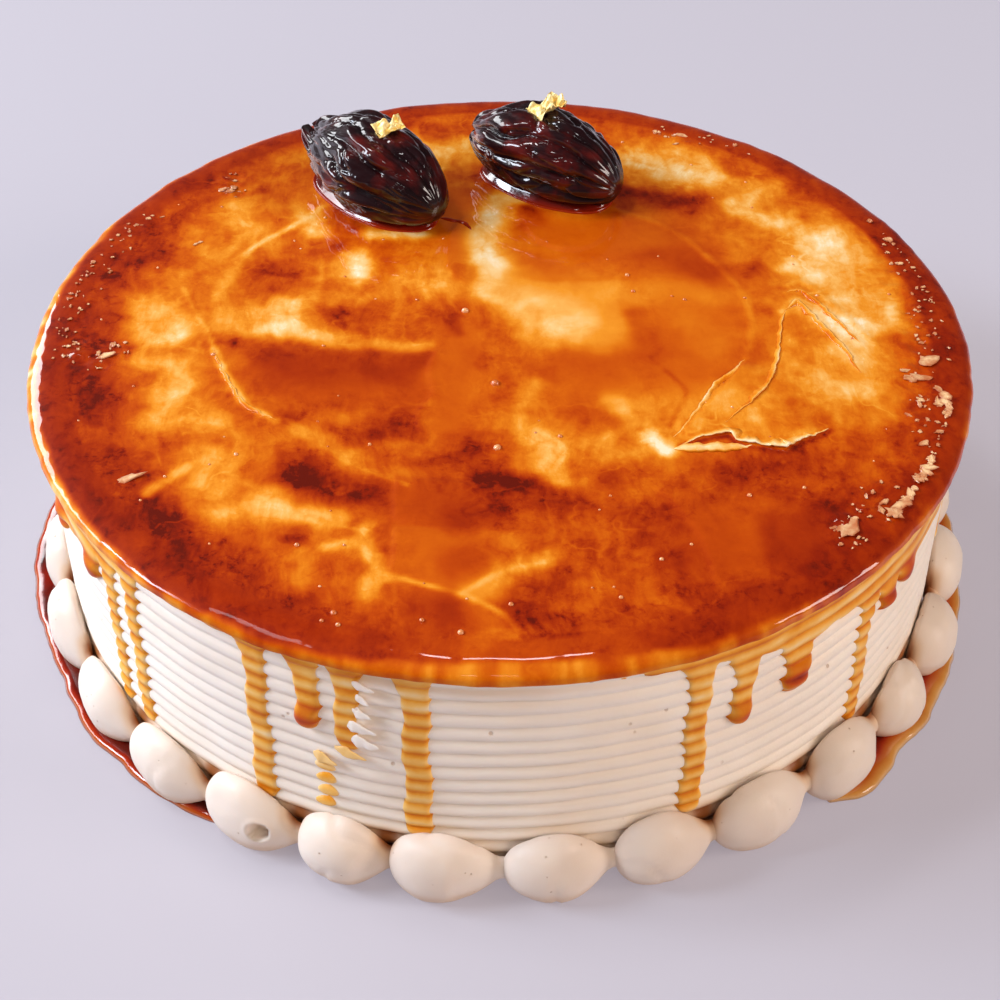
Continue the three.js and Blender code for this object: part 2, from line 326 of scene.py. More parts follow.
def polar(radius, degrees, height):
    """Points in mm from their distance to the axis, azimuth and height."""
    angle = np.radians(degrees)
    parts = np.broadcast_arrays(radius * np.cos(angle), radius * np.sin(angle), height)
    return np.stack(parts, axis=-1)


def ease(value, low, high):
    """0 below low, 1 above high, smooth between."""
    share = np.clip((value - low) / (high - low), 0, 1)
    return share * share * (3 - 2 * share)


noise_sample = lumps(np.random.default_rng(1).uniform(0, 90, (999, 3)), 9)
print("noise goes from", noise_sample.min().round(2), "to", noise_sample.max().round(2))

# %% [markdown]
# ## The combed cream
# A toothed comb was drawn round the side, so the cream stands in full round ridges with narrow
# grooves between them. The ridges waver a little, and some grooves are shallower. The same radius is
# needed again for the caramel that runs over it, so it is a function of azimuth and height.

# %% Radius of the combed side
SIDE_RADIUS = 96.6
RIDGE_PITCH = 3.6
RIDGE_DEPTH = 1.0
RIDGE_SHARP = 2.2
RIDGE_TOP = 54.0
CREAM_TOP = 57.5
TORN_AZIMUTH = -103.5
TORN_HALF_WIDTH = 2.2
TORN_FROM = 34.0


def ridge_phase(degrees, height):
    """0 on a ridge's crest, 1 in the grooves beside it."""
    place = polar(SIDE_RADIUS, degrees, height * 0.4)
    waver = 0.32 * lumps(place, 34, 1) + 0.1 * lumps(place, 9, 2)
    turn = (height + waver) / RIDGE_PITCH
    return np.abs(2 * (turn - np.floor(turn)) - 1)


def cream_radius(degrees, height):
    place = polar(SIDE_RADIUS, degrees, height)
    depth = RIDGE_DEPTH * (1 + 0.3 * lumps(place, 16, 3))
    combed = 1 - ease(height, RIDGE_TOP - 1, RIDGE_TOP + 2)
    groove = ridge_phase(degrees, height) ** RIDGE_SHARP * depth * combed
    dimples = 0.1 * lumps(place, 7, 4, 2)
    torn = np.exp(-((degrees - TORN_AZIMUTH) / TORN_HALF_WIDTH) ** 2)
    torn = torn * ease(height, TORN_FROM, TORN_FROM + 6)
    ragged = torn * (0.5 * lumps(place, 2.6, 5, 2) - 0.3)
    return SIDE_RADIUS - groove + dimples + ragged


front_side = cream_radius(np.full(99, -80.0), np.linspace(20, 40, 99))
print("ridges at the front are", round(float(np.ptp(front_side)), 2), "mm deep")

# %% [markdown]
# Whipped cream is white with a warm cast, dull with a faint sheen, and full of tiny pores. Light
# enters it a little way, which softens its shadows, so the shader lets some through. The pores are
# a sparse Voronoi pattern that darkens and dents the surface.

# %% Cream finish
FOOT_SHADE_CREAM = colour(224, 194, 164)
SOAKED_SHADED_CREAM = colour(158, 92, 42)
PORE_SHADE = colour(176, 136, 106)


def cream_finish(name, light, shade, pore_size):
    material, tone, place = new_finish(name)
    clouds = grain(place, 18, 3)
    fine = grain(place, 0.9, 4, 0.65)
    cells = place.node("ShaderNodeTexVoronoi", {}, {"Vector": place, "Scale": 1 / (pore_size * MM)})
    chance = grain(place, pore_size * 2.2, 1).fade(0.47, 0.58)
    pores = (1 - cells.fade(0.05, 0.11)) * chance
    unshaded_body = clouds.fade(0.3, 0.7).mix(light, shade)
    # the stored value turns the cream brown in the gaps, partly caramel and partly painted shadow, and darker
    # and warmer at the foot: painted shade
    damp = stored(tone, "damp")
    foot_shaded_body = damp.fade(0.0, 0.5).mix(unshaded_body, FOOT_SHADE_CREAM)
    body = damp.fade(0.4, 1.0).mix(foot_shaded_body, SOAKED_SHADED_CREAM)
    bumps = fine * 0.25 - pores
    finish_with(
        tone,
        Base_Color=(pores * 0.55).mix(body, PORE_SHADE),
        Roughness=0.36 + 0.2 * fine,
        Normal=relief(tone, bumps, 0.22, 0.7),
        Subsurface_Weight=0.12,
        Subsurface_Radius=(1.0, 0.7, 0.5),
        Subsurface_Scale=0.0015,
    )
    return material


cream = cream_finish("combed_cream", colour(247, 236, 224), colour(243, 229, 214), 5.0)
print("made", cream.name)

# %% [markdown]
# The cream itself is a drum: a flat top that the glaze will hide, a rounded shoulder, and a side with
# the radius from above. It could be a cylinder with a displacement, but rings that are placed one by
# one give each ridge about ten rows of its own, which keeps its crest round.

# %% Cream body
SIDE_COLUMNS = 500
SIDE_ROWS = 166
DRUM_MIDDLE = 60
SHOULDER = ((3.0, 0.0), (1.4, 0.35), (0.5, 1.1))
SHOULDER_DROP = 1.8


def cream_body():
    degrees = np.arange(SIDE_COLUMNS) * 360 / SIDE_COLUMNS - 180
    rings = [np.array((0, 0, CREAM_TOP)), polar(DRUM_MIDDLE, degrees, CREAM_TOP)]
    for inset, drop in SHOULDER:
        rings.append(polar(SIDE_RADIUS - inset, degrees, CREAM_TOP - drop))
    for height in np.linspace(CREAM_TOP - SHOULDER_DROP, 0, SIDE_ROWS):
        heights = np.full(SIDE_COLUMNS, height)
        rings.append(polar(cream_radius(degrees, heights), degrees, heights))
    rings += [polar(DRUM_MIDDLE, degrees, 0), np.array((0, 0, 0))]
    return sew_rings(rings)


cream_shape = cream_body()
print("the cream has", len(cream_shape[0]), "points")

# %% [markdown]
# ## The piped border
# Twenty-eight shells were piped in a row round the foot: each starts as a fat round head, and the
# bag was pulled away to a tail that the next head covers. Each shell is a ball drawn out along the
# foot, flat below and pressed against the cake, with its tail pushed under its neighbour.

# %% Where each shell sits
SHELL_COUNT = len(SHELL_NODES)
SHELL_FRONT_NUMBER = 8
SHELL_FRONT_AZIMUTH = -83
SHELL_SWAY = 2.1
SHELL_NUDGE = {7: -1.5, 8: -0.7, 11: 1.4, 12: 1.4}


def shell_azimuth(number):
    step = number - SHELL_FRONT_NUMBER
    sway = SHELL_SWAY * math.sin(4 * math.pi * step / SHELL_COUNT)
    return SHELL_FRONT_AZIMUTH + 360 / SHELL_COUNT * step - sway


def shell_start(number):
    """Azimuth where a shell's head begins. A few are off the even rhythm."""
    return (shell_azimuth(number - 1) + shell_azimuth(number)) / 2 + SHELL_NUDGE.get(number, 0)


def shell_height(number):
    """How high this shell reaches, from its own solid."""
    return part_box(SHELL_NODES[number - 1])[1][2] / MM


for number in (1, 8, 15):
    where = round(shell_azimuth(number), 1)
    print("shell", number, "at", where, "degrees,", round(shell_height(number), 1), "mm high")

# %% [markdown]
# Caramel that ran down behind the shells soaked into the cream in the gaps between them, and shade
# falls in those gaps, so their brown is partly caramel and partly painted shadow. Towards the foot the
# cream is painted darker and warmer all round: painted shade. One stored value on the points carries
# both, for the side and for the shells alike.

# %% Soaked cream, with painted shade at the foot and in the gaps
SEEP_SHADE_SHELLS = (1, 2, 3, 4, 5, 6, 9, 10, 11, 12, 13)
SEEP_SHADE_HALF_WIDTH = 2.2
SEEP_SHADE_OUT = (97.5, 101.5)
SEEP_SHADE_UP = (10.5, 14.5)
FOOT_SHADE = 0.4
SIDE_SHADE_UNTIL = 15.0
SHELL_SHADE_UNTIL = 6.0


def soak_and_shade_at(points, shade_until):
    """From 0 on plain cream to 1 in the gaps, where caramel soaked in and a painted shadow is added; the foot
    gets a painted shade.
    """
    degrees = np.degrees(np.arctan2(points[:, 1], points[:, 0]))
    radius = np.hypot(points[:, 0], points[:, 1])
    # painted shade: the cream darkens towards the foot
    foot = FOOT_SHADE * (1 - ease(points[:, 2], 0.3 * shade_until, shade_until))
    soaked = np.zeros(len(points))
    # gaps between the shells: caramel soak, with painted shadow in them
    for number in SEEP_SHADE_SHELLS:
        off = (degrees - shell_start(number + 1) + 0.6 + 180) % 360 - 180
        soaked = np.maximum(soaked, np.exp(-((off / SEEP_SHADE_HALF_WIDTH) ** 2)))
    soaked = soaked * (1 - ease(radius, *SEEP_SHADE_OUT)) * (1 - ease(points[:, 2], *SEEP_SHADE_UP))
    return np.maximum(foot, soaked)


cream_soak_and_shade = soak_and_shade_at(cream_shape[0], SIDE_SHADE_UNTIL)
make_piece("cream_cake_coat", cream_shape, cream, ["cream_cake"], {"damp": cream_soak_and_shade})

# %% [markdown]
# A bubble in the piping bag burst as one of the front shells was pressed out, and left a round pit. A
# Boolean could cut it, but a burst bubble has a soft edge, so the shell's points are pushed in there,
# and those just outside are pushed out to a low lip.

# %% The air hole in one shell
AIR_HOLE_SHELL = 5
AIR_HOLE = polar(103.6, -117.4, 8.4)
AIR_HOLE_RADIUS = 2.1
AIR_HOLE_DEPTH = 3.0
AIR_HOLE_DIP = -0.35
AIR_HOLE_LIP = 0.3
AIR_HOLE_REACH = 6


def press_air_hole(points):
    """A bubble burst here: a round pit with a slightly raised lip."""
    inward = -AIR_HOLE / np.linalg.norm(AIR_HOLE[:2])
    inward[2] = AIR_HOLE_DIP
    away = points - AIR_HOLE
    away = away - np.outer(away @ inward, inward) / (inward @ inward)
    far = np.linalg.norm(away, axis=1)
    near = np.linalg.norm(points - AIR_HOLE, axis=1) < AIR_HOLE_REACH
    pit = AIR_HOLE_DEPTH * (1 - ease(far, AIR_HOLE_RADIUS * 0.8, AIR_HOLE_RADIUS * 1.0))
    lip = AIR_HOLE_LIP * np.exp(-((far - AIR_HOLE_RADIUS * 1.2) / 0.45) ** 2)
    return points + np.where(near, pit - lip, 0)[:, None] * inward


print("the air hole is", 2 * AIR_HOLE_RADIUS, "mm wide, in shell", AIR_HOLE_SHELL)

# %% [markdown]
# One shell is a row of rings along an arc round the foot. Each ring's girth follows the head, the
# drawn-out body and the neck; its inner side is kept short against the cake and its foot is cut off
# flat. Low lumps and one soft crease in each keep twenty-eight shells from looking like copies.

# %% One piped shell
SHELL_SIDES = 44
SHELL_INSIDE = SIDE_RADIUS - 0.6
SHELL_SPINE = 2.4
SHELL_WAIST = 0.44
SHELL_REACH = 104.2
SHELL_UNEVEN = 1.4
SHELL_UNEVEN_SIDE = -30
SHELL_CREASE = 0.5
SHELL_BLUNT = 2.2
TAIL_OVERLAP = 3.4
TAIL_END = 0.9
HEAD_SHARE = 0.35
NECK_SHARE = 0.76
NECK_GIRTH = 0.32
TIP_SHARE = 0.08


def shell_girth(share):
    """Thickness along a shell: a blunt head, a drawn-out body and a neck that closes at its tip."""
    if share < HEAD_SHARE:
        return max(1 - ((HEAD_SHARE - share) / HEAD_SHARE) ** SHELL_BLUNT, 0) ** (1 / SHELL_BLUNT)
    drawn = min((share - HEAD_SHARE) / (NECK_SHARE - HEAD_SHARE), 1)
    close = math.sqrt(max(1 - (max(share - (1 - TIP_SHARE), 0) / TIP_SHARE) ** 2, 0))
    return (NECK_GIRTH + (1 - NECK_GIRTH) * (1 - drawn ** SHELL_BLUNT) ** 1.25) * close


def shell_body(number):
    sides = SHELL_SIDES * (2 if number == AIR_HOLE_SHELL else 1)
    stations = sides
    here = shell_azimuth(number)
    first = shell_start(number)
    last = shell_start(number + 1)
    reach = SHELL_REACH + SHELL_UNEVEN * math.cos(math.radians(here - SHELL_UNEVEN_SIDE))
    height = shell_height(number)
    angle = np.arange(sides) * 2 * np.pi / sides
    out = np.cos(angle)
    up = np.sin(angle)
    rings = []
    for station in range(stations + 1):
        share = (1 - math.cos(math.pi * station / stations)) / 2
        girth = shell_girth(share)
        tail = ease(share, HEAD_SHARE, TAIL_END)
        outer = np.where(out > 0, reach - SHELL_INSIDE - SHELL_SPINE, SHELL_SPINE)
        radius = SHELL_INSIDE + SHELL_SPINE * (1 - 0.25 * tail) + girth * out * outer
        waist = SHELL_WAIST - 0.06 * tail
        rise = height * (waist + (1 - SHELL_WAIST) * girth * up)
        azimuth = np.full(sides, first + share * (last - first + TAIL_OVERLAP))
        points = polar(radius, azimuth, np.maximum(rise, 0))
        swell = 0.45 * lumps(points, 10, 20 + number) + 0.1 * lumps(points, 3.5, 50 + number)
        swell -= SHELL_CREASE * np.clip(1 - 6 * np.abs(lumps(points, 13, 40 + number)), 0, 1)
        points = points + (swell * girth)[:, None] * polar(out, azimuth, np.where(rise > 0.2, up, 0))
        points[:, 2] = np.maximum(points[:, 2], 0)
        rings.append(points if 0 < station < stations else points.mean(axis=0))
    points, faces = sew_rings(rings)
    if number == AIR_HOLE_SHELL:
        points = press_air_hole(points)
    return points, faces


piped = cream_finish("piped_cream", colour(239, 224, 210), colour(231, 213, 197), 2.8)
for number, node in enumerate(SHELL_NODES, start=1):
    shell_shape = shell_body(number)
    shell_soak_and_shade = soak_and_shade_at(shell_shape[0], SHELL_SHADE_UNTIL)
    make_piece("piped_" + node, shell_shape, piped, [node], {"damp": shell_soak_and_shade})

# %% [markdown]
# ## Caramel by its depth
# The glaze is one clear brown liquid: where it is thin over the cream it looks pale gold, where it
# is deep it turns orange, red-brown and almost black. So one number, the caramel's depth, gives its
# colour everywhere, on the top, in the runs and in the pools, through a single ramp.

# %% Colour ramp of the caramel
CARAMEL_RAMP = [
    (0.00, colour(246, 226, 190)),
    (0.10, colour(242, 202, 138)),
    (0.22, colour(238, 173, 84)),
    (0.34, colour(231, 144, 36)),
    (0.46, colour(217, 117, 15)),
    (0.58, colour(203, 92, 5)),
    (0.70, colour(186, 69, 2)),
    (0.82, colour(163, 47, 1)),
    (0.92, colour(137, 29, 1)),
    (1.00, colour(98, 18, 3)),
]
print("caramel ramp has", len(CARAMEL_RAMP), "stops")

# %% [markdown]
# ## Strokes on the glaze
# The marbled top is what the eye goes to first. A palette knife drew the glaze out while it set, so
# it lies in soft clouds, veins and overlapping films. It is painted the same way: strokes in cake
# coordinates, each pulling the depth towards its own value, worked out on the points of a dense
# mesh. Fine fibres and speckles come later, from noise in the finish.

# %% Strokes and how far a point is from one
STROKE_BLUNT = 2.6
STROKE_END = 0.12


def smooth_line(points, steps=6):
    """A smooth curve through the given points."""
    line = np.array(points, float)
    if len(line) == 1:
        return np.vstack((line, line + 0.01))
    if len(line) == 2:
        return line
    ends = np.vstack((2 * line[0] - line[1], line, 2 * line[-1] - line[-2]))
    t = np.linspace(0, 1, steps, endpoint=False)[:, None]
    parts = []
    for a, b, c, d in zip(ends, ends[1:], ends[2:], ends[3:]):
        bend = (2 * a - 5 * b + 4 * c - d) * t ** 2 + (3 * b - a - 3 * c + d) * t ** 3
        parts.append(0.5 * (2 * b + (c - a) * t + bend))
    return np.vstack(parts + [line[-1:]])


def from_line(place, line):
    """Distance to a line, the side it is on (1 left, -1 right) and the share along the line."""
    nearest = np.full(len(place), np.inf)
    side = np.zeros(len(place))
    along = np.zeros(len(place))
    lengths = np.hypot(*(line[1:] - line[:-1]).T)
    total = lengths.sum()
    done = 0.0
    for start, stop, length in zip(line[:-1], line[1:], lengths):
        step = stop - start
        share = np.clip((place - start) @ step / (step @ step), 0, 1)
        gap = place - start - share[:, None] * step
        far = np.hypot(gap[:, 0], gap[:, 1])
        closer = far < nearest
        nearest = np.where(closer, far, nearest)
        side = np.where(closer, np.sign(step[0] * gap[:, 1] - step[1] * gap[:, 0]), side)
        along = np.where(closer, (done + share * length) / total, along)
        done += length
    return nearest, side, along


def stroke(place, points, reach, side=0):
    """How strongly a stroke shows, 0 to 1. With a side, it is crisp there and fades away from it."""
    line = smooth_line(points)
    margin = 3.2 * reach + 1
    inside = np.all((place > line.min(axis=0) - margin) & (place < line.max(axis=0) + margin), axis=1)
    weight = np.zeros(len(place))
    far, hand, along = from_line(place[inside], line)
    if side == 0:
        weight[inside] = np.exp(-((far / reach) ** STROKE_BLUNT))
    else:
        ends = ease(along, 0.0, STROKE_END) * (1 - ease(along, 1 - STROKE_END, 1.0))
        soft = max(0.4, 0.12 * reach)
        weight[inside] = np.exp(-far / reach) * ease(far * hand * side, -soft, soft) * ends
    return weight


print("a stroke's weight on its line:", stroke(np.array([[0.0, 0.0]]), [(-5, 0), (5, 0)], 2))

# %% [markdown]
# The rim is not the same all round: the glaze gathered dark near the edge, more at the left than at
# the front, and thins to amber on the lip itself. A few values by azimuth say how deep it is, where
# the dark rim begins and where the lip turns amber; between them it goes evenly.

# %% Rim of the glaze
RIM_DEPTH = ((-180, 0.88), (-150, 0.88), (-125, 0.9), (-105, 0.84), (-90, 0.72), (-75, 0.8), (-50, 0.9),
             (-25, 0.82), (0, 0.9), (30, 0.84), (60, 0.8), (90, 0.84), (120, 0.82), (150, 0.86), (180, 0.88))
RIM_INSIDE = ((-180, 80), (-150, 79), (-120, 82), (-90, 88), (-50, 85), (-20, 86), (10, 90), (60, 89),
              (100, 90), (140, 85), (180, 80))
LIP_DEPTH = ((-180, 0.36), (-140, 0.4), (-115, 0.5), (-102, 0.52), (-90, 0.5), (-78, 0.52), (-66, 0.56),
             (-50, 0.58), (0, 0.6), (90, 0.6), (150, 0.46), (180, 0.36))
LIP_FROM = ((-180, 96.0), (-150, 96.6), (-125, 97.6), (-108, 97.6), (-98, 95.8), (-90, 94.9), (-80, 95.4),
            (-70, 96.8), (-50, 97.8), (0, 97.8), (90, 97.4), (150, 96.6), (180, 96.0))
LIP_BLEND = 1.9


def round_the_cake(table, degrees):
    """A value that changes with azimuth, read from a few places round the cake."""
    at, value = zip(*table)
    return np.interp(degrees, at, value)


print("at the front the lip turns amber at", round_the_cake(LIP_FROM, -90), "mm")

# %% [markdown]
# The patches are the clouds of the marbling: each is a depth of caramel, how far it reaches and the
# line that it lies along, in millimetres from the middle of the cake. They are laid one over the
# other, broad tones first, as a painter would lay them. Two of them paint light: a dark patch beside
# the right date's tip is its painted shadow, and the pale patch in the middle is partly a painted sheen.

# %% Patches of the marbling
PATCHES = [
    # broad tones that lie under the rest
    (0.76, 17, [(4, -54), (36, -54), (72, -48)]),
    (0.78, 15, [(10, -82), (46, -76), (66, -60)]),
    (0.74, 13, [(-42, -14), (-20, -16)]),
    (0.70, 15, [(-36, -34), (-14, -38)]),
    (0.74, 11, [(26, 32), (44, 26)]),
    (0.64, 12, [(30, 2), (36, -12)]),
    (0.42, 12, [(14, -32), (28, -30)]),
    (0.40, 13, [(-70, 8), (-70, -18), (-56, -44)]),
    (0.38, 13, [(70, 44), (76, 20), (72, -6)]),
    (0.30, 12, [(6, 18), (14, 4)]),
    (0.24, 9, [(36, 70), (46, 62)]),
    # left rim and the golden left side
    (0.86, 8, [(-90, 8), (-84, 24), (-78, 36)]),
    (0.72, 6, [(-76, 48), (-72, 34), (-78, 30)]),
    (0.60, 7, [(-70, 54), (-58, 60), (-56, 48)]),
    (0.44, 4, [(-66, 47), (-62, 44)]),
    (0.90, 8, [(-92, -2), (-89, -20), (-84, -40)]),
    (0.54, 7, [(-80, 12), (-72, 18), (-64, 26)]),
    (0.38, 8, [(-71, 6), (-73, -10), (-66, -20)]),
    (0.31, 4, [(-70, 2), (-74, -8), (-70, -15)]),
    (0.32, 7, [(-66, -24), (-56, -27)]),
    (0.50, 6, [(-76, -36), (-68, -37), (-56, -36)]),
    (0.78, 3.5, [(-83, -25), (-77, -26)]),
    (0.44, 4, [(-71, 24), (-66, 22)]),
    # left arc and the brown patch inside it
    (0.52, 8, [(-58, 40), (-54, 24), (-50, 34)]),
    (0.66, 7, [(-50, 24), (-48, 17)]),
    (0.74, 3, [(-47, 23), (-45, 20)]),
    (0.30, 3, [(-45, 44), (-42, 38)]),
    (0.36, 5, [(-42, 30), (-38, 24)]),
    (0.10, 3.4, [(-32, 28), (-31, 20)]),
    (0.64, 5, [(-22, 31), (-18, 26)]),
    (0.12, 2.8, [(-28, 38), (-18, 37)]),
    (0.54, 7, [(-22, 16), (-14, 14)]),
    (0.44, 5, [(-36, 14), (-30, 13)]),
    (0.62, 3.6, [(-38, 6.5), (-26, 6.5)]),
    (0.80, 2.2, [(-11, 5), (-10, 2)]),
    # dark film of the left middle, and the pale vein above it
    (0.30, 5, [(-58, 7), (-48, 9)]),
    (0.80, 8, [(-42, -11), (-30, -14), (-18, -12)]),
    (0.86, 4, [(-48, -8), (-44, -9)]),
    (0.86, 4, [(-27, -12), (-22, -13)]),
    (0.26, 3.2, [(-58, 3), (-50, 2), (-45, 5)]),
    (0.22, 3.0, [(-47, 2), (-40, 0), (-32, -2)]),
    (0.36, 2.4, [(-32, -2), (-24, -3), (-17, -3)]),
    (0.63, 5, [(-7, -6), (-10, -16), (-8, -26), (-11, -36)]),
    (0.70, 6, [(-40, -24), (-24, -24)]),
    (0.86, 4.6, [(-33, -36), (-25, -32)]),
    (0.92, 5, [(-40, -43), (-35, -47)]),
    (0.86, 4, [(-31, -51), (-25, -52)]),
    (0.50, 4, [(-52, -37), (-44, -34)]),
    (0.52, 2.6, [(-40, -33), (-30, -41), (-20, -46)]),
    (0.88, 5, [(-6, -40), (-3, -46)]),
    # lower left
    (0.37, 5.5, [(-54, -44), (-60, -52), (-50, -58)]),
    (0.30, 3, [(-46, -54), (-38, -58), (-30, -59)]),
    (0.80, 6, [(-73, -54), (-66, -62)]),
    (0.84, 7, [(-60, -68), (-50, -72)]),
    (0.76, 4.5, [(-48, -63), (-40, -66)]),
    (0.92, 6, [(-48, -80), (-38, -85)]),
    (0.38, 3.6, [(-37, -71), (-38, -77)]),
    (0.72, 3, [(-31, -76), (-31, -73)]),
    (0.14, 2.2, [(-24, -62), (-23, -68), (-22, -74)]),
    (0.30, 1.4, [(-24, -65), (-32, -68)]),
    (0.24, 2.0, [(-22, -74), (-25, -80), (-26, -87)]),
    # panels at the front
    (0.72, 5, [(-16, -53), (-10, -53)]),
    (0.90, 4, [(-7, -57), (-1, -56)]),
    (0.58, 6, [(-16, -65), (-12, -68)]),
    (0.80, 4, [(-9, -71), (-4, -69)]),
    (0.86, 5, [(-14, -84), (-10, -84)]),
    (0.30, 3, [(-5, -79), (0, -76)]),
    (0.56, 4, [(-2, -86), (4, -90)]),
    (0.99, 3.4, [(-2, -49), (6, -50)]),
    (0.88, 5, [(8, -54), (18, -56), (28, -57)]),
    (0.66, 6, [(8, -64), (28, -66)]),
    (0.42, 3, [(2, -73), (8, -70)]),
    (0.78, 6, [(8, -81), (28, -84)]),
    (0.74, 9, [(40, -60), (44, -78)]),
    (0.90, 2.8, [(51, -58), (52, -78)]),
    (0.86, 6, [(58, -62), (62, -70)]),
    # dark zone under the flap
    (0.84, 7, [(46, -45), (60, -46)]),
    (0.70, 5, [(68, -42), (76, -48)]),
    (0.56, 4, [(66, -32), (74, -33)]),
    # middle films
    (0.62, 8, [(12, 28), (24, 34), (36, 40)]),
    (0.80, 6, [(36, 27), (46, 25)]),
    (0.66, 4, [(24, 27), (34, 24)]),
    (0.36, 6, [(8, 14), (22, 15)]),
    (0.48, 5, [(32, 15), (42, 14)]),
    # pale patch in the middle: pale caramel, partly a painted sheen
    (0.14, 8, [(9, 9), (17, 3)]),
    (0.36, 4, [(25, 6), (22, -3)]),
    (0.66, 6, [(3, -10), (16, -13), (28, -11)]),
    (0.70, 2.8, [(31, 7), (32, -8)]),
    (0.52, 5, [(42, 2), (46, -8)]),
    (0.56, 6, [(14, -22), (18, -30)]),
    (0.40, 2.6, [(6, -16), (6, -27)]),
    (0.30, 3.4, [(8, -34), (10, -42)]),
    (0.24, 2.6, [(10, -42), (13, -48)]),
    (0.46, 4, [(18, -42), (26, -40)]),
    (0.26, 3.2, [(24, -24), (28, -31)]),
    (0.06, 2.4, [(30, -34), (33.5, -37.5)]),
    # pale strip between the dates, with the brown film on its left
    (0.62, 6, [(-13, 46), (-10, 56), (-6, 64)]),
    (0.86, 2.6, [(-5, 60), (-3, 57)]),
    (0.60, 3.4, [(-10, 40), (-10, 24)]),
    (0.05, 4.2, [(5, 53), (1, 47), (-2, 40), (-3, 31), (-2, 23)]),
    (0.22, 2.4, [(-3, 21), (-4, 15), (3, 12), (9, 8)]),
    (0.74, 2.8, [(7, 47), (9, 42)]),
    # back
    (0.46, 5, [(-13, 74), (-12, 68)]),
    (0.32, 3, [(-9, 80), (-10, 77)]),
    (0.62, 6, [(-20, 86), (-10, 88)]),
    # golden right side
    (0.40, 9, [(60, 54), (72, 40), (76, 20), (72, 2)]),
    (0.22, 3.4, [(54, 49), (64, 43)]),
    (0.28, 3.6, [(66, 37), (71, 30)]),
    (0.20, 3, [(64, 26), (68, 20)]),
    (0.74, 2.6, [(57, 26), (57, 23)]),
    (0.50, 4, [(57, 37), (54, 31)]),
    (0.36, 4.5, [(78, 10), (78, 2)]),
    (0.50, 4.5, [(63, 5), (62, -5)]),
    (0.12, 4, [(71, 6), (74, -1)]),
    (0.30, 5, [(72, -10), (76, -18)]),
    (0.08, 5.5, [(33, 71), (45, 67)]),
    (0.24, 3.5, [(38, 76), (50, 62)]),
    # painted shadow of the right date, beside its tip
    (0.78, 4.5, [(30, 54), (44, 52)]),
    (0.78, 3.4, [(55, 68), (56, 65)]),
    (0.70, 5, [(68, 64), (74, 54)]),
    (0.36, 9, [(50, -26), (58, -22), (66, -20)]),
    (0.50, 3, [(62, -26), (68, -22)]),
    (0.50, 4, [(78, -24), (72, -27)]),
]
PATCH_STRENGTH = 0.9
print(len(PATCHES), "patches of marbling")

# %% [markdown]
# Between the patches run the sharp things: bright threads where a film of caramel ends, crisp edges
# of one film over another, and the torn flap on the right where the knife lifted the skin. They
# change the depth and also stand up a little, so light catches on them.

# %% Threads, film edges and the flap
# Threads: depth, half width, rise, strength and line
THREADS = [
    (0.10, 1.0, 0.12, 0.95, [(-60, -6), (-57, -14), (-54, -20), (-51, -25), (-45, -29.5)]),
    (0.26, 0.6, 0.08, 0.8, [(-69, 16), (-66, 8), (-63, 2), (-60, -6)]),
    (0.12, 0.9, 0.1, 0.9, [(-41, 49), (-46, 42), (-52, 36), (-56, 31), (-58, 26)]),
    (0.28, 1.9, 0.1, 0.8, [(-57, 28), (-60, 18), (-61, 10)]),
    (0.34, 0.6, 0.06, 0.7, [(-62, -38), (-50, -48), (-38, -57), (-27, -62)]),
    (0.44, 0.6, 0.06, 0.7, [(-43, -29), (-30, -42), (-18, -49)]),
    (0.22, 0.7, 0.08, 0.85, [(-22, -74), (-14, -77), (-7, -79.5), (0, -84), (3, -88)]),
    (0.22, 0.8, 0.1, 0.85, [(-7, -79.5), (0, -74), (8, -71)]),
    (0.46, 0.8, 0.1, 0.6, [(26, 48), (33, 44), (38, 40), (43, 34), (47, 26)]),
    (0.34, 0.9, 0.1, 0.6, [(46, 29), (48, 25.6), (52.2, 15.5), (53.8, 5), (52.8, -3), (51.2, -9.3)]),
    (0.78, 0.6, 0.0, 0.75, [(31, -8), (35, -14), (38, -20), (36, -26), (34, -31)]),
    (0.92, 0.6, -0.1, 0.8, [(66, -70), (50, -80), (35, -86), (20, -89), (4, -90)]),
    (0.84, 0.5, -0.1, 0.6, [(-62, -72), (-55, -79), (-45, -86)]),
    (0.15, 0.5, 0.1, 0.6, [(9, -33), (13, -38), (11, -44)]),
    (0.24, 1.4, 0.1, 0.85, [(-68, -51.3), (-65.8, -48.5), (-62.5, -45), (-59.2, -42.2)]),
    (0.50, 0.5, -0.2, 0.8, [(35, -34), (40.5, -26.2), (46.2, -17.6), (51.2, -9.3)]),
    (0.12, 1.3, 0.2, 0.9, [(61, 7), (64.1, 11), (66.3, 7.2), (69.8, -0.1), (72.2, -5.1), (74.8, -14.2)]),
    (0.24, 0.8, 0.2, 0.7, [(62, 14), (65.5, 15.2), (69, 10), (72.5, 3), (76, -4)]),
    (0.26, 0.8, 0.2, 0.7, [(63, 17), (66.5, 18.5), (70.5, 12), (75, 4), (79, -4)]),
]

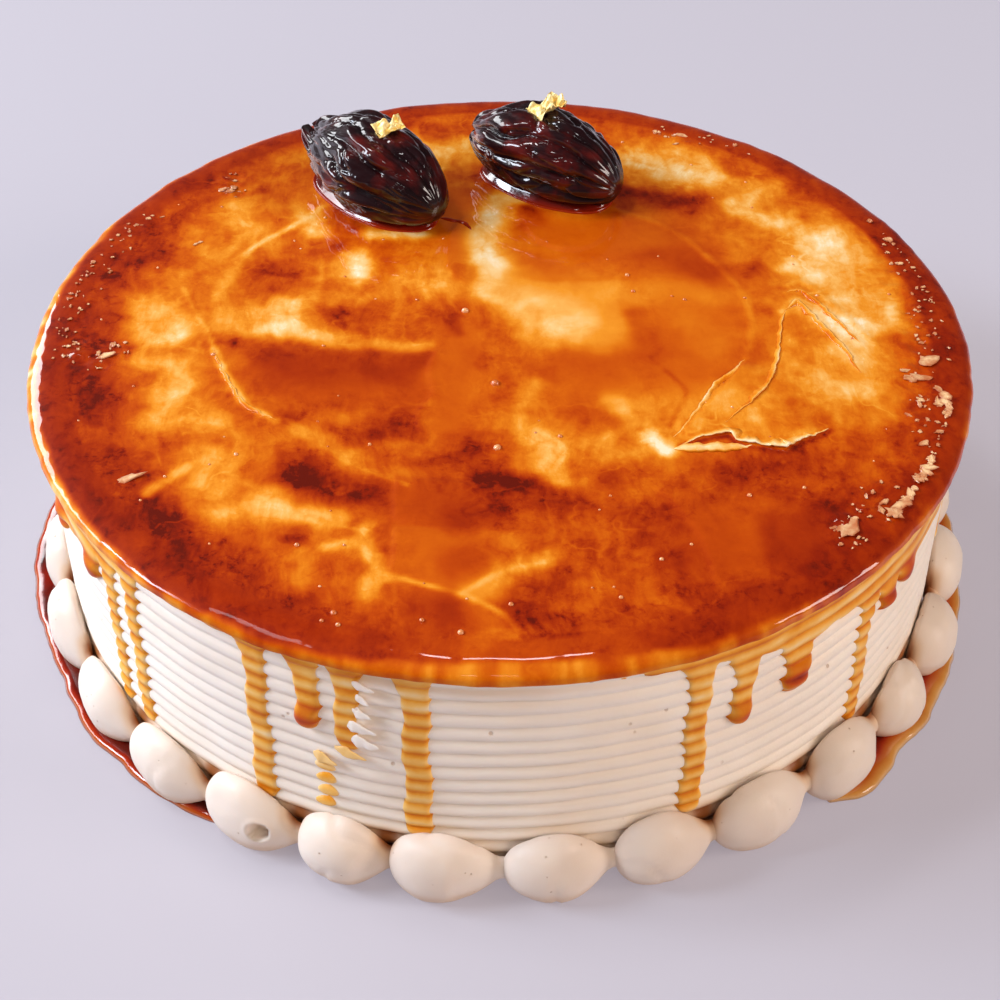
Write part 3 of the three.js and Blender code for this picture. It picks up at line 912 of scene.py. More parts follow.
# Films: depth, fade, rise at the edge, strength, side of the line they lie on and line
FILMS = [
    (0.58, 4, 0.15, 0.6, 1, [(-60, -6), (-57, -14), (-54, -20), (-51, -25), (-45, -29.5)]),
    (0.80, 6, 0.15, 0.3, -1, [(-46, -5), (-36, -6), (-26, -7), (-15, -7)]),
    (0.58, 5, 0.2, 0.3, 1, [(-13, -4), (-15, -12), (-14, -20), (-17, -27), (-16, -34)]),
    (0.70, 7, 0.2, 0.6, 1, [(-20, -46), (-20.5, -53), (-20, -60)]),
    (0.80, 5, 0.15, 0.5, 1, [(-20, -61), (-10, -60), (2, -59)]),
    (0.60, 8, 0.2, 0.6, 1, [(-20, -61), (-20, -70), (-21, -75)]),
    (0.86, 5, 0.15, 0.6, -1, [(-20, -47), (-8, -48), (3, -51), (10, -54), (30, -56)]),
    (0.70, 9, 0.2, 0.6, 1, [(29, -48), (35, -58), (38, -66), (40, -80)]),
    (0.60, 6, 0.2, 0.75, 1, [(-7, 46), (-11, 39), (-12, 30), (-11, 22), (-7, 17)]),
    (0.62, 9, 0.3, 0.85, 1, [(4.5, 47), (6, 39), (10, 33), (16, 31), (21, 33), (25, 39), (26, 47)]),
    (0.58, 7, 0.1, 0.5, 1, [(2, 20), (14, 19.5), (28, 20), (42, 19)]),
    (0.34, 6, 0.4, 0.6, -1, [(35, -34), (40.5, -26.2), (46.2, -17.6), (51.2, -9.3)]),
]
TORN_EDGE = [
    (36.1, -36.5), (41.1, -34.6), (45.2, -33.7), (47.1, -35.9), (50.2, -37.1), (53.4, -37.8), (56.5, -38.4),
    (60, -35.9), (62.6, -34.6), (65.8, -32.1),
]
print(len(THREADS), "threads and", len(FILMS), "films")

# %% [markdown]
# Where the glaze is a smooth wet film it shows no grain at all; where it is thin, the fibres of the
# cream under it show. A second stored value, the calm, says how smooth a film lies there. A third,
# the dryness, marks the broken crust near the rim.

# %% Calm films and dry crust
# Each stroke: reach and line
CALM_STROKES = [
    (9, [(-46, -13), (-30, -16), (-16, -14)]),
    (5, [(-8, 0), (-9, -18), (-10, -30)]),
    (14, [(8, 20), (24, 4), (20, -14)]),
    (14, [(14, 36), (36, 32), (42, 12), (40, -12)]),
    (9, [(-14, -55), (-10, -70), (-8, -82)]),
    (12, [(42, -66), (54, -64)]),
    (5, [(-10, 30), (-11, 52)]),
]
DRY_STROKES = [
    (6, [(88, 34), (92, 8), (88, -16), (86, -40), (78, -57)]),
    (4, [(72, -51), (65, -60), (66, -66)]),
    (4, [(-82, 44), (-90, 24), (-93, 2), (-88, -10)]),
    (3, [(-64, 60), (-62, 54)]),
    (3, [(-80, -6), (-84, -12)]),
    (3, [(40, 82), (50, 78)]),
]


def total_strokes(place, strokes):
    total = np.zeros(len(place))
    for reach, points in strokes:
        total = np.maximum(total, stroke(place, points, reach))
    return total


print(len(CALM_STROKES), "calm films and", len(DRY_STROKES), "stretches of dry crust")

# %% [markdown]
# Two functions say all about the top at any place on it: how deep the caramel is and how high it
# stands. The depth starts even; the patches pull it one after another, noise frays them, the rim
# darkens, and the films and threads come last, because they lie on top. The height follows the same
# lines, so that a bright thread is also a low ridge.

# %% Depth and height of the glaze at any place
GLAZE_TOP = 61.3
BASE_DEPTH = 0.6
TORN_REACH = 7
TORN_SWELL = 0.3
TORN_PALE = 0.26
TORN_SHADOW = 0.95
# Broad swells: x, y, reach and height
SWELLS = ((54, -22, 15, 0.6), (66, 6, 13, 0.5), (-50, -12, 20, 0.45), (-4, 28, 14, 0.5),
          (-10, -72, 18, 0.4), (-6, -30, 22, -0.4))


def on_top(place):
    return np.column_stack((place, np.zeros(len(place))))


def wobbled(place, wide, fine):
    """Places shifted by noise, so that the listed strokes get ragged natural outlines."""
    flat = on_top(place)
    shift_x = wide * lumps(flat, 12, 60, 2) + fine * lumps(flat, 3.2, 61, 2)
    shift_y = wide * lumps(flat, 12, 62, 2) + fine * lumps(flat, 3.2, 63, 2)
    return place + np.column_stack((shift_x, shift_y))


def marbling(place):
    """Soft clouds and brown burns, as wide as a finger tip."""
    flat = on_top(wobbled(place, 3.0, 0.0))
    clouds = lumps(flat, 13, 64, 2)
    burns = ease(lumps(flat, 9, 76, 2), 0.05, 0.7)
    return 0.17 * clouds + 0.14 * burns - 0.03


def towards(depth, target, weight):
    return depth + weight * (target - depth)


def glaze_depth(place):
    degrees = np.degrees(np.arctan2(place[:, 1], place[:, 0]))
    radius = np.hypot(place[:, 0], place[:, 1]) + 2.2 * lumps(on_top(place), 10, 65, 2)
    inside = round_the_cake(RIM_INSIDE, degrees)
    calm = total_strokes(place, CALM_STROKES)
    ragged = wobbled(place, 1.8, 0.5)
    edged = wobbled(place, 0.9, 0.25)
    depth = np.full(len(place), BASE_DEPTH)
    for target, reach, points in PATCHES:
        depth = towards(depth, target, PATCH_STRENGTH * stroke(ragged, points, reach))
    rim = ease(radius, inside - 4, inside + 7)
    depth = depth + marbling(place) * (1 - 0.85 * calm) * (1 - 0.6 * rim)
    depth = towards(depth, round_the_cake(RIM_DEPTH, degrees), 0.85 * rim)
    for target, fade, _, strength, side, points in FILMS:
        depth = towards(depth, target, strength * stroke(edged, points, fade, side))
    depth = towards(depth, TORN_PALE, 0.75 * stroke(place, TORN_EDGE, TORN_REACH, 1))
    broken = np.clip(0.75 + 0.5 * lumps(on_top(place), 6, 74, 2), 0.2, 1)
    for target, half, _, strength, points in THREADS:
        depth = towards(depth, target, strength * broken * stroke(place, points, half))
    return towards(depth, TORN_SHADOW, 0.8 * stroke(place + np.array((0, 0.9)), TORN_EDGE, 0.8))


def glaze_rise(place):
    rise = 0.12 * lumps(on_top(place), 22, 66, 2)
    for x, y, reach, height in SWELLS:
        rise += height * np.exp(-((place[:, 0] - x) ** 2 + (place[:, 1] - y) ** 2) / reach ** 2)
    for _, fade, height, _, side, points in FILMS:
        rise += height * stroke(place, points, fade * 0.7, side)
    for _, half, height, _, points in THREADS:
        rise += 0.6 * height * stroke(place, points, half)
    return rise + TORN_SWELL * stroke(place, TORN_EDGE, TORN_REACH, 1)


probe = np.array([(-30.0, -3.0), (-20.0, -11.0), (14.0, 4.0), (-2.0, 40.0)])
print("depth at four places:", glaze_depth(probe).round(2))
print("the flap stands", glaze_rise(np.array([(50.0, -34.0)])).round(2)[0], "mm up")

# %% [markdown]
# The sheet is one closed body: a disc of rings so close together that the threads show on its points,
# then a lip that bulges over the cream like a flattened tube and tucks under. The marbling could be an
# image, but a dense mesh carries its values with it and needs no unwrapping.

# %% The glaze sheet
TOP_STEP = 0.64
TOP_EDGE = 90.5
TOP_LEVEL_RIM = 8
CRUST_ROUGH = 0.35


def ring_of(radius, count):
    degrees = np.arange(count) * 360 / count - 180
    return polar(np.full(count, radius), degrees, 0.0)[:, :2]


def glaze_body():
    rings = [np.array([[0.0, 0.0]])]
    for radius in np.arange(TOP_STEP, TOP_EDGE, TOP_STEP):
        rings.append(ring_of(radius, max(6, round(2 * math.pi * radius / TOP_STEP))))
    places = np.vstack(rings)
    edge = ease(np.hypot(places[:, 0], places[:, 1]), TOP_EDGE - TOP_LEVEL_RIM, TOP_EDGE)
    crust = total_strokes(places, DRY_STROKES)
    heights = GLAZE_TOP + glaze_rise(places) * (1 - edge)
    heights = heights + CRUST_ROUGH * crust * lumps(on_top(places), 2.2, 67, 2)
    fields = {
        "depth": glaze_depth(places),
        "calm": total_strokes(places, CALM_STROKES),
        "dry": crust,
    }
    starts = np.cumsum([0] + [len(ring) for ring in rings])
    solid = [np.column_stack((places, heights))[a:b] for a, b in zip(starts[:-1], starts[1:])]
    count = len(rings[-1])
    degrees = np.arange(count) * 360 / count - 180
    return solid, fields, degrees


top_rings, top_fields, rim_degrees = glaze_body()
print("the top has", len(top_rings), "rings, with", len(rim_degrees), "points in the last")

# %% [markdown]
# Light shows the lip more than any other part of the glaze: its section is a flattened round, steep
# only near its outer edge, so a window at the left is drawn out to a long white line on it. Small
# swells and sags keep that line alive. At the front the lip is duller, as the coat has run thin there.

# %% The lip
LIP_RADIUS = 99.2
LIP_WIDEST = 58.7
LIP_UNDER = 57.2
LIP_SQUARE = 2.6
LIP_TUCK = 1.6
LIP_SHOULDER = 26
LIP_TURN_UNDER = 10
UNDER_RADII = (94.0, 60.0)
UNDER_LEVEL = LIP_UNDER + 0.5
UNDER_GLOSS = 0.1
# Azimuths between which the gloss fades at the front, and where it comes back
DULL_FROM = (-131, -124)
DULLEST_TO = (-112, -104)
DULL_TO = (-64, -58)


def lip_rings(degrees):
    """The rounded lip from the top's edge down and under, its caramel depth and its gloss."""
    rings = []
    depths = []
    gloss = []
    rim_depth = round_the_cake(RIM_DEPTH, degrees)
    lip_depth = round_the_cake(LIP_DEPTH, degrees)
    uneven = polar(LIP_RADIUS, degrees, 0.0)
    sag = 0.3 * lumps(uneven, 12, 68, 2)
    streaks = 0.24 * lumps(uneven, 3.6, 77, 2)
    front = ease(degrees, *DULL_FROM) * (1 - ease(degrees, *DULL_TO))
    front_left = ease(degrees, *DULL_FROM) * (1 - ease(degrees, *DULLEST_TO))
    change = round_the_cake(LIP_FROM, degrees) + 0.5 * lumps(uneven, 9, 78, 2)
    steps = [(k / LIP_SHOULDER, 0.0) for k in range(1, LIP_SHOULDER + 1)]
    steps += [(1.0, k / LIP_TURN_UNDER) for k in range(1, LIP_TURN_UNDER + 1)]
    for over, under in steps:
        turn = math.pi / 2 * over
        out = TOP_EDGE + (LIP_RADIUS - TOP_EDGE) * math.sin(turn) ** (2 / LIP_SQUARE)
        fall = (GLAZE_TOP - LIP_WIDEST) * (1 - max(math.cos(turn), 0) ** (2 / LIP_SQUARE))
        tuck = 1 - math.cos(math.pi / 2 * under)
        drop = (LIP_WIDEST - LIP_UNDER) * math.sin(math.pi / 2 * under)
        here = uneven + np.array((0, 0, fall + drop))
        swell = 0.14 * lumps(here, 6, 69) + 0.12 * lumps(uneven, 15, 73) + 0.07 * lumps(here, 2.6, 75)
        swell = swell * ease(over, 0.0, 0.6)
        ripple = 0.06 * lumps(here, 6, 81, 2) * ease(over, 0.05, 0.3) * (1 - ease(over, 0.8, 1.0))
        level = GLAZE_TOP - fall - drop + ripple + sag * (over + under) / 2
        rings.append(polar(out - LIP_TUCK * tuck + swell, degrees, level))
        amber = ease(out - change, 0.0, LIP_BLEND)
        depths.append(rim_depth + amber * (lip_depth + streaks - 0.16 * under - rim_depth))
        shine = 1 - 0.6 * ease(over, 0.9, 1.0) - 0.3 * ease(under, 0.0, 0.5)
        shine = shine * (1 - 0.82 * front_left * ease(over, 0.05, 0.2))
        gloss.append(shine * (1 - 0.85 * front * ease(over, 0.4, 0.75)))
    for radius in UNDER_RADII:
        rings.append(polar(np.full(len(degrees), radius), degrees, UNDER_LEVEL))
        depths.append(lip_depth)
        gloss.append(np.full(len(degrees), UNDER_GLOSS))
    return rings, depths, gloss


edge_rings, edge_depths, edge_gloss = lip_rings(rim_degrees)
print("the lip has", len(edge_rings), "rings")

# %% [markdown]
# The finish of the top adds what is finer than a millimetre or two: cloudy mottles, fibres that
# follow the knife, and dark speckles. They shift the depth before the ramp gives it a colour, so
# they darken and redden as real caramel does. A clear coat over it all is the wet gloss.

# %% Glaze finish
def glaze_finish():
    material, tone, place = new_finish("caramel_glaze")
    depth = stored(tone, "depth")
    calm = stored(tone, "calm")
    dry = stored(tone, "dry")
    clouds = grain(stirred(place, 11, 8), 9, 7, 0.62) - 0.5
    along_knife = {"Vector": stirred(place, 16, 9), "Rotation": (0, 0, 0.8), "Scale": (1, 0.3, 1)}
    drawn = tone.node("ShaderNodeMapping", {}, along_knife)
    fibres = grain(drawn, 3.0, 5, 0.62) - 0.5
    burnt = grain(stirred(place, 5, 3), 3.0, 5, 0.68).fade(0.5, 0.74)
    flecks = grain(stirred(place, 3, 2), 1.3, 2, 0.6).fade(0.64, 0.74)
    wander = grain(stirred(place, 9, 10), 17, 3, 0.55) - 0.5
    veins = (1 - abs(wander).fade(0.0, 0.035)) * clouds.fade(-0.06, 0.16)
    wrinkle = grain(stirred(place, 7, 8), 11, 2, 0.5) - 0.5
    wrinkles = 1 - abs(wrinkle).fade(0.0, 0.03)
    deep = depth.fade(0.45, 0.9)
    grainy = 1 - calm * 0.85
    shift = clouds * 0.75 + fibres * 0.45 + burnt * (0.05 + 0.14 * deep) - flecks * 0.05
    shift = shift + wrinkles * 0.03 - veins * 0.12
    total = depth + shift * grainy + clouds * 0.12 * calm
    fine = grain(place, 1.2, 3, 0.6)
    bumps = fine * (0.2 + dry) + fibres * grainy
    finish_with(
        tone,
        Base_Color=ramp(total, CARAMEL_RAMP),
        Roughness=0.4 + 0.2 * fine,
        Normal=relief(tone, bumps, 0.12, 0.4),
        Coat_Weight=stored(tone, "wet"),
        Coat_Roughness=0.03,
        Specular_IOR_Level=0.05,
    )
    return material


glaze = glaze_finish()
under_pole = np.array([[0.0, 0.0, UNDER_LEVEL]])
glaze_shape = sew_rings(top_rings + edge_rings + [under_pole])
edge_zeros = np.zeros(sum(len(ring) for ring in edge_rings) + 1)
glaze_fields = {
    "depth": np.concatenate([top_fields["depth"], *edge_depths, [0.6]]),
    "calm": np.concatenate((top_fields["calm"], edge_zeros + 0.6)),
    "dry": np.concatenate((top_fields["dry"], edge_zeros)),
    "wet": np.concatenate([np.ones(len(top_fields["dry"])), *edge_gloss, [0.15]]),
}
make_piece("glaze_sheet", glaze_shape, glaze, ["caramel_glaze"], glaze_fields)

# %% [markdown]
# On the right the knife tore the skin of the glaze. Its edges are crisper than the sheet's mesh can
# be, so they are strips of their own, swept along lines on the top: thin skin that stands up along
# the tear and along two folds behind it, and a tongue of cream that shows in the tear.

# %% Strips of torn skin
SKIN_RAGGED = 0.25
SKIN_END_DEPTH = 0.4
SKIN_DRY = 0.5
SKIN_WET = 0.4
SKIN_SEED = 140
STRIP_STEPS = 14


def strip_body(points, section, ragged, seed):
    """A strip along a line on the top. The section lists distances to the line's left and heights."""
    line = smooth_line(points, STRIP_STEPS)
    ahead = np.gradient(line, axis=0)
    left = np.column_stack((-ahead[:, 1], ahead[:, 0])) / np.hypot(*ahead.T)[:, None]
    along = np.linspace(0, 1, len(line))
    full = np.sqrt(ease(along, 0.0, 0.25) * (1 - ease(along, 0.75, 1.0)))
    full = full * np.clip(0.85 + 0.4 * lumps(on_top(line), 2.4, seed, 2), 0.3, 1.3)
    line = line + ragged * lumps(on_top(line), 1.4, seed + 1, 2)[:, None] * left
    ground = GLAZE_TOP + glaze_rise(line)
    rings = []
    for place, away, size, low in zip(line, left, full, ground):
        rings.append([(*(place + u * size * away), low + h * (size if h > 0 else 1)) for u, h in section])
    rings = [np.array(ring) for ring in rings]
    return sew_rings([rings[0].mean(axis=0)] + rings + [rings[-1].mean(axis=0)])


# Sections: distance to the left, height and depth of caramel
SKIN_EDGE = ((0.0, 0.4, 0.3), (-0.1, 0.6, 0.06), (0.3, 0.72, 0.1), (1.2, 0.5, 0.26), (2.6, 0.1, 0.4),
             (2.8, -0.4, 0.4), (0.8, -0.4, 0.6))
SKIN_FOLD = ((0.0, 0.4, 0.5), (-0.1, 0.6, 0.2), (0.3, 0.72, 0.2), (1.2, 0.5, 0.36), (2.6, 0.1, 0.46),
             (2.8, -0.4, 0.46), (0.8, -0.4, 0.6))
SKIN_TONGUE = ((1.3, 0.0, 0.5), (0.9, 0.3, 0.26), (0.0, 0.42, 0.16), (-0.8, 0.3, 0.22), (-1.3, 0.0, 0.6),
               (-0.8, -0.3, 0.6), (0.8, -0.3, 0.6))
# Each strip: section, width and height as shares of the section's, and its line
SKIN_STRIPS = [
    (SKIN_EDGE, 1.0, 1.0, TORN_EDGE),
    (SKIN_FOLD, 0.5, 0.5, [(44.7, -30.8), (51.5, -23.6), (55.4, -17.6), (57.9, -10), (60.1, 2.1),
                           (61.1, 7.2)]),
    (SKIN_FOLD, 0.5, 0.4, [(51.2, -9.3), (46.9, -14.9), (43.6, -18.3), (39.5, -26.6), (34.4, -35)]),
    (SKIN_FOLD, 0.5, 0.5, [(74.8, -14.2), (72.2, -5.1), (69.8, -0.1), (66.3, 7.2), (64.1, 11), (61, 7)]),
    (SKIN_FOLD, 0.4, 0.3, [(76, -4), (72.5, 3), (69, 10), (65.5, 15.2), (62, 14)]),
    (SKIN_FOLD, 0.4, 0.3, [(-45, -29.5), (-51, -25), (-54, -20), (-57, -14), (-60, -6)]),
    (SKIN_TONGUE, 1.0, 1.0, [(34, -38.4), (38, -37.8), (43, -37.6), (47, -37.8), (50, -37.2)]),
]


def skin_strip(section, wide, high, points, seed):
    """One strip and the depth of caramel on its points."""
    scaled = [(u * wide, h * high if h > 0 else h) for u, h, _ in section]
    points, faces = strip_body(points, scaled, SKIN_RAGGED, seed)
    rows = (len(points) - 2) // len(section)
    depth = np.tile([level for _, _, level in section], rows)
    return (points, faces), np.concatenate(([SKIN_END_DEPTH], depth, [SKIN_END_DEPTH]))


skin_parts = [skin_strip(*row, SKIN_SEED + 3 * number) for number, row in enumerate(SKIN_STRIPS)]
torn_skin = join_bodies(body for body, _ in skin_parts)
skin_zeros = np.zeros(len(torn_skin[0]))
torn_fields = {
    "depth": np.concatenate([depth for _, depth in skin_parts]),
    "calm": skin_zeros,
    "dry": skin_zeros + SKIN_DRY,
    "wet": skin_zeros + SKIN_WET,
}
make_piece("torn_skin", torn_skin, glaze, [], torn_fields)

# %% [markdown]
# ## Film and runs down the side
# Below the lip the caramel left a thin film, and runs crept over the ridges down to the shells. It is
# thin and golden on a crest, fills the grooves and is darker there, creeps sideways along them into
# little teeth, and hangs in a dark bulb where a run ended. A coverage field, positive where there is
# caramel, describes all this at once; its zero line is cut out of a fine grid.

# %% Coverage of the side
FILM_EDGE = ((-180, 44.5), (-165, 41.5), (-156, 43), (-148, 46.5), (-142, 50), (-136, 53.4), (-120, 55.2),
             (-102, 55.6), (-90, 57), (-80, 56.8), (-70, 54.5), (-61, 50.4), (-52, 47), (-42, 46.4),
             (-30, 45), (0, 44.5), (25, 46), (50, 52), (75, 56), (95, 56.6), (120, 55), (145, 50),
             (165, 45.5), (180, 44.5))
# Each run: azimuth, heights where it starts and ends, width, and 1 if it ends in a hanging bulb or -1
# if it only touched the crests
RUNS = [
    (-157.2, 60, 41, 5.0, 1), (-146.3, 60, 41.5, 4.8, 1), (-142.4, 60, 12, 4.4, 0), (-137.8, 60, 12, 4.4, 0),
    (-118.2, 60, 12, 5.2, 0), (-111.7, 60, 37, 5.2, 1), (-107.0, 60, 34, 5.0, 0), (-110.1, 28, 15, 4.8, -1),
    (-99.2, 60, 12, 5.8, 0), (-67.6, 60, 12, 5.2, 0), (-61.9, 60, 33.5, 4.8, 1), (-54.4, 60, 35.5, 6.4, 1),
    (-42.3, 60, 12, 4.4, 0), (-38, 60, 39, 4.6, 1), (-33.9, 60, 41, 4.6, 1), (-14, 60, 24, 5.0, 0),
    (7, 60, 41, 5.6, 1), (19, 60, 12, 5.2, 0), (41, 60, 33, 5.6, 1), (63, 60, 12, 5.6, 0),
    (79, 60, 45, 5.0, 1), (98, 60, 12, 5.4, 0), (117, 60, 36, 5.8, 1), (139, 60, 12, 5.0, 0),
    (161, 60, 29, 5.4, 0),
]
RUN_FLARE = 1.7


def run_cover(degrees, height, groove, at, start, end, width, bulb):
    """How far inside one run a place is, in mm, and how close it is to the run's hanging bulb."""
    across = np.radians((degrees - at + 180) % 360 - 180) * SIDE_RADIUS
    across = across + 0.35 * np.sin(height * 0.35 + at) + 0.2 * np.sin(height * 0.9 + 2 * at)
    across = np.sign(across) * np.hypot(across, 0.62 * width * groove * max(-bulb, 0))
    lean = math.sin(math.radians(at + 90))
    towards_front = np.where(across > 0, -lean, lean)
    teeth = np.maximum(0.2, 0.3 + 0.6 * towards_front) * groove ** 4
    film = float(round_the_cake(FILM_EDGE, at))
    flare = RUN_FLARE * np.exp(-np.maximum(film - height, 0) / 2.5)
    half = width / 2 * (0.86 + 0.14 * np.exp(-np.maximum(height - end, 0) / 6)) + teeth + flare
    tip = end + width / 2
    beyond = np.maximum(np.maximum(tip - height, height - start), 0)
    hanging = np.exp(-((across / (0.62 * width)) ** 2) - ((height - tip - 0.4) / 3.0) ** 2)
    return half - np.hypot(across, beyond), hanging * max(bulb, 0)


def smooth_join(first, second, soft=1.5):
    """The larger of two coverages, with a rounded inside corner."""
    share = np.clip(0.5 + 0.5 * (first - second) / soft, 0, 1)
    return second + (first - second) * share + soft * share * (1 - share) * 0.5


def side_cover(degrees, height):
    groove = ridge_phase(degrees, height)
    place = polar(SIDE_RADIUS, degrees, height)
    edge = round_the_cake(FILM_EDGE, degrees) + 0.9 * lumps(place * np.array((1, 1, 0)), 7, 70, 2)
    cover = height - edge + 1.1 * (groove ** 3 - 0.3)
    bulbs = np.zeros(len(degrees))
    for run in RUNS:
        inside, bulb = run_cover(degrees, height, groove, *run)
        cover = smooth_join(cover, inside)
        bulbs = np.maximum(bulbs, bulb)
    return cover, bulbs, groove


print(len(RUNS), "runs,", sum(run[-1] > 0 for run in RUNS), "of them end in a bulb")

# %% [markdown]
# Blender has no tool that turns such a field into a clean sheet, so a short function cuts it out of a
# grid: a cell that is covered in part keeps only that part, and its corners move to where the cover is
# zero. Neighbours share their corners, so the sheet has no seams.

# %% Cut the covered cells out of a grid
CUT_MARGIN = 0.02


def cut_cells(cover):
    """Cells of a wrapped grid where the cover is positive, their corners moved to its zero line.

    Gives the corner places as (row, column) and the faces between them.
    """
    rows, columns = cover.shape
    index = {}
    places = []
    faces = []

    def corner(key, place):
        if key not in index:
            index[key] = len(places)
            places.append(place)
        return index[key]

    wet = cover > 0
    count = wet[:-1] + 0 + wet[1:] + np.roll(wet, -1, axis=1)[:-1] + np.roll(wet, -1, axis=1)[1:]
    for row, column in np.argwhere(count > 0):
        cell = [(row, column), (row, column + 1), (row + 1, column + 1), (row + 1, column)]
        face = []
        for (r0, c0), (r1, c1) in zip(cell, cell[1:] + cell[:1]):
            k0 = (r0, c0 % columns)
            k1 = (r1, c1 % columns)
            v0 = cover[k0]
            v1 = cover[k1]
            if v0 > 0:
                face.append(corner(k0, (r0, c0)))
            if (v0 > 0) != (v1 > 0):
                share = min(max(v0 / (v0 - v1), CUT_MARGIN), 1 - CUT_MARGIN)
                key = tuple(sorted((k0, k1)))
                face.append(corner(key, (r0 + share * (r1 - r0), c0 + share * (c1 - c0))))
        faces.append(tuple(face))
    return np.array(places, float), faces


def rim_edges(faces):
    """Edges that only one face has, in that face's direction."""
    seen = {}
    for face in faces:
        for a, b in zip(face, face[1:] + face[:1]):
            key = (min(a, b), max(a, b))
            if key in seen:
                seen[key] = None
            else:
                seen[key] = (a, b)
    return [edge for edge in seen.values() if edge]


wet_point = np.array(((-1.0, -1.0, -1.0), (-1.0, 1.0, -1.0), (-1.0, -1.0, -1.0)))
print("one wet point in a dry grid gives", len(cut_cells(wet_point)[1]), "faces")

# %% [markdown]
# The sheet gets a body: its outside stands off the combed cream, thicker in the grooves and in the
# bulbs and rounded off at the edges, and its inside is sunk into the cream, so that no gap shows. The
# runs are cloudier and yellower than the top, because light comes through them from the cream.

# %% The film and runs as one thin body
FILM_COLUMNS = 1260
FILM_ROWS = 132
FILM_LOW = 10.0
FILM_HIGH = 58.2
FILM_SUNK = 0.5
FILM_THICKNESS = 0.38
FILM_BANK = 1.3
BULB_THICKNESS = 1.15


def film_body():
    columns = np.arange(FILM_COLUMNS) * 360 / FILM_COLUMNS - 180
    heights = np.linspace(FILM_LOW, FILM_HIGH, FILM_ROWS)
    grid_degrees, grid_heights = np.meshgrid(columns, heights)
    cover = side_cover(grid_degrees.ravel(), grid_heights.ravel())[0].reshape(grid_degrees.shape)
    places, faces = cut_cells(cover)
    degrees = places[:, 1] * 360 / FILM_COLUMNS - 180
    height = np.interp(places[:, 0], np.arange(FILM_ROWS), heights)
    cover, bulbs, groove = side_cover(degrees, height)
    bank = np.sqrt(1 - (1 - np.clip(cover / FILM_BANK, 0, 1)) ** 2)
    fill = 0.55 * RIDGE_DEPTH * groove ** 2.6
    thick = bank * (FILM_THICKNESS + fill + BULB_THICKNESS * bulbs)
    radius = cream_radius(degrees, height)
    outside = polar(radius + thick + 0.02, degrees, height)
    inside = polar(radius - FILM_SUNK, degrees, height)
    count = len(outside)
    back = [tuple(count + k for k in reversed(face)) for face in faces]
    wall = [(b, a, count + a, count + b) for a, b in rim_edges(faces)]
    layer = 0.22 + 0.38 * groove ** 1.6 * (1 - 0.6 * bulbs) + 0.52 * bulbs ** 0.6
    layer += 0.12 * lumps(outside * np.array((1, 1, 2.0)), 6, 71, 2) + 0.12 * ease(height, 50, 58)
    layer -= 0.14 * (1 - bank)
    return (np.vstack((outside, inside)), faces + back + wall), np.concatenate((layer, layer))


FILM_RAMP = [
    (0.00, colour(246, 222, 180)),
    (0.22, colour(246, 193, 104)),
    (0.42, colour(236, 160, 48)),
    (0.60, colour(216, 122, 18)),
    (0.80, colour(196, 76, 8)),
    (1.00, colour(138, 34, 6)),
]


def run_finish():
    material, tone, place = new_finish("caramel_runs")
    layer = stored(tone, "depth")
    streaks = grain(place, 2.2, 4, 0.6, 0.5) - 0.5
    total = layer + streaks * 0.2
    finish_with(
        tone,
        Base_Color=ramp(total, FILM_RAMP),
        Roughness=0.3 + 0.15 * streaks,
        Normal=relief(tone, streaks, 0.1, 0.4),
        Specular_IOR_Level=0.05,
        Coat_Weight=0.2,
        Coat_Roughness=0.05,
    )
    return material


runs = run_finish()
film_shape, film_layer = film_body()
make_piece("caramel_film_and_runs", film_shape, runs, [], {"depth": film_layer})

# %% [markdown]
# ## Torn cream
# At the front left something brushed the soft side: the ridges are torn off there in short pointed
# shards that stand away from the cake, some white and some with caramel still on them. Each is a
# wedge with its root in the cream and its tip bent outwards.

# %% Shards of torn ridge
# Azimuth of root and tip, height of root and tip, and how tall the root is
WHITE_SHARDS = [
    (-107.0, -103.3, 41.2, 41.0, 3.8), (-106.6, -103.1, 37.2, 37.2, 3.8), (-106.0, -103.2, 52.4, 52.4, 2.6),
    (-105.8, -104.0, 48.8, 48.6, 2.6), (-106.2, -103.8, 45.2, 45.0, 3.0),
]
CARAMEL_SHARDS = [(-108.6, -104.6, 33.6, 33.3, 3.4), (-111.3, -108.1, 30.3, 30.0, 3.2)]
SHARD_LIFT = 1.2
SHARD_SIDES = 14
SHARD_STATIONS = 18
SHARD_LAYER = 0.16


def shard_body(root, tip, root_height, tip_height, tall):
    angle = np.arange(SHARD_SIDES) * 2 * np.pi / SHARD_SIDES
    rings = []
    for share in np.linspace(0, 1, SHARD_STATIONS):
        girth = (1 - share) ** 0.6 * min(1.0, 0.3 + 3 * share)
        azimuth = np.full(SHARD_SIDES, root + share * (tip - root))
        middle = root_height + share * (tip_height - root_height)
        out = SIDE_RADIUS + 0.1 + SHARD_LIFT * share + 0.4 * girth * np.cos(angle)
        points = polar(out, azimuth, middle + tall / 2 * girth * np.sin(angle))
        points = points + (0.4 * girth * lumps(points, 1.5, 79, 2))[:, None] * np.array((0.3, 0.3, 1.0))
        rings.append(points if share < 1 else points.mean(axis=0))
    return sew_rings([rings[0].mean(axis=0)] + rings)


make_piece("torn_cream", join_bodies(shard_body(*row) for row in WHITE_SHARDS), cream)
torn_caramel = join_bodies(shard_body(*row) for row in CARAMEL_SHARDS)
shard_layer = np.full(len(torn_caramel[0]), SHARD_LAYER)
make_piece("torn_caramel", torn_caramel, runs, [], {"depth": shard_layer})

# %% [markdown]
# ## Pools at the foot
# Where runs went behind the shells the caramel came out at the foot as thin pools: dark where deep,
# amber at the rounded outer edge. Each is a strip with a domed section that ends in a point.

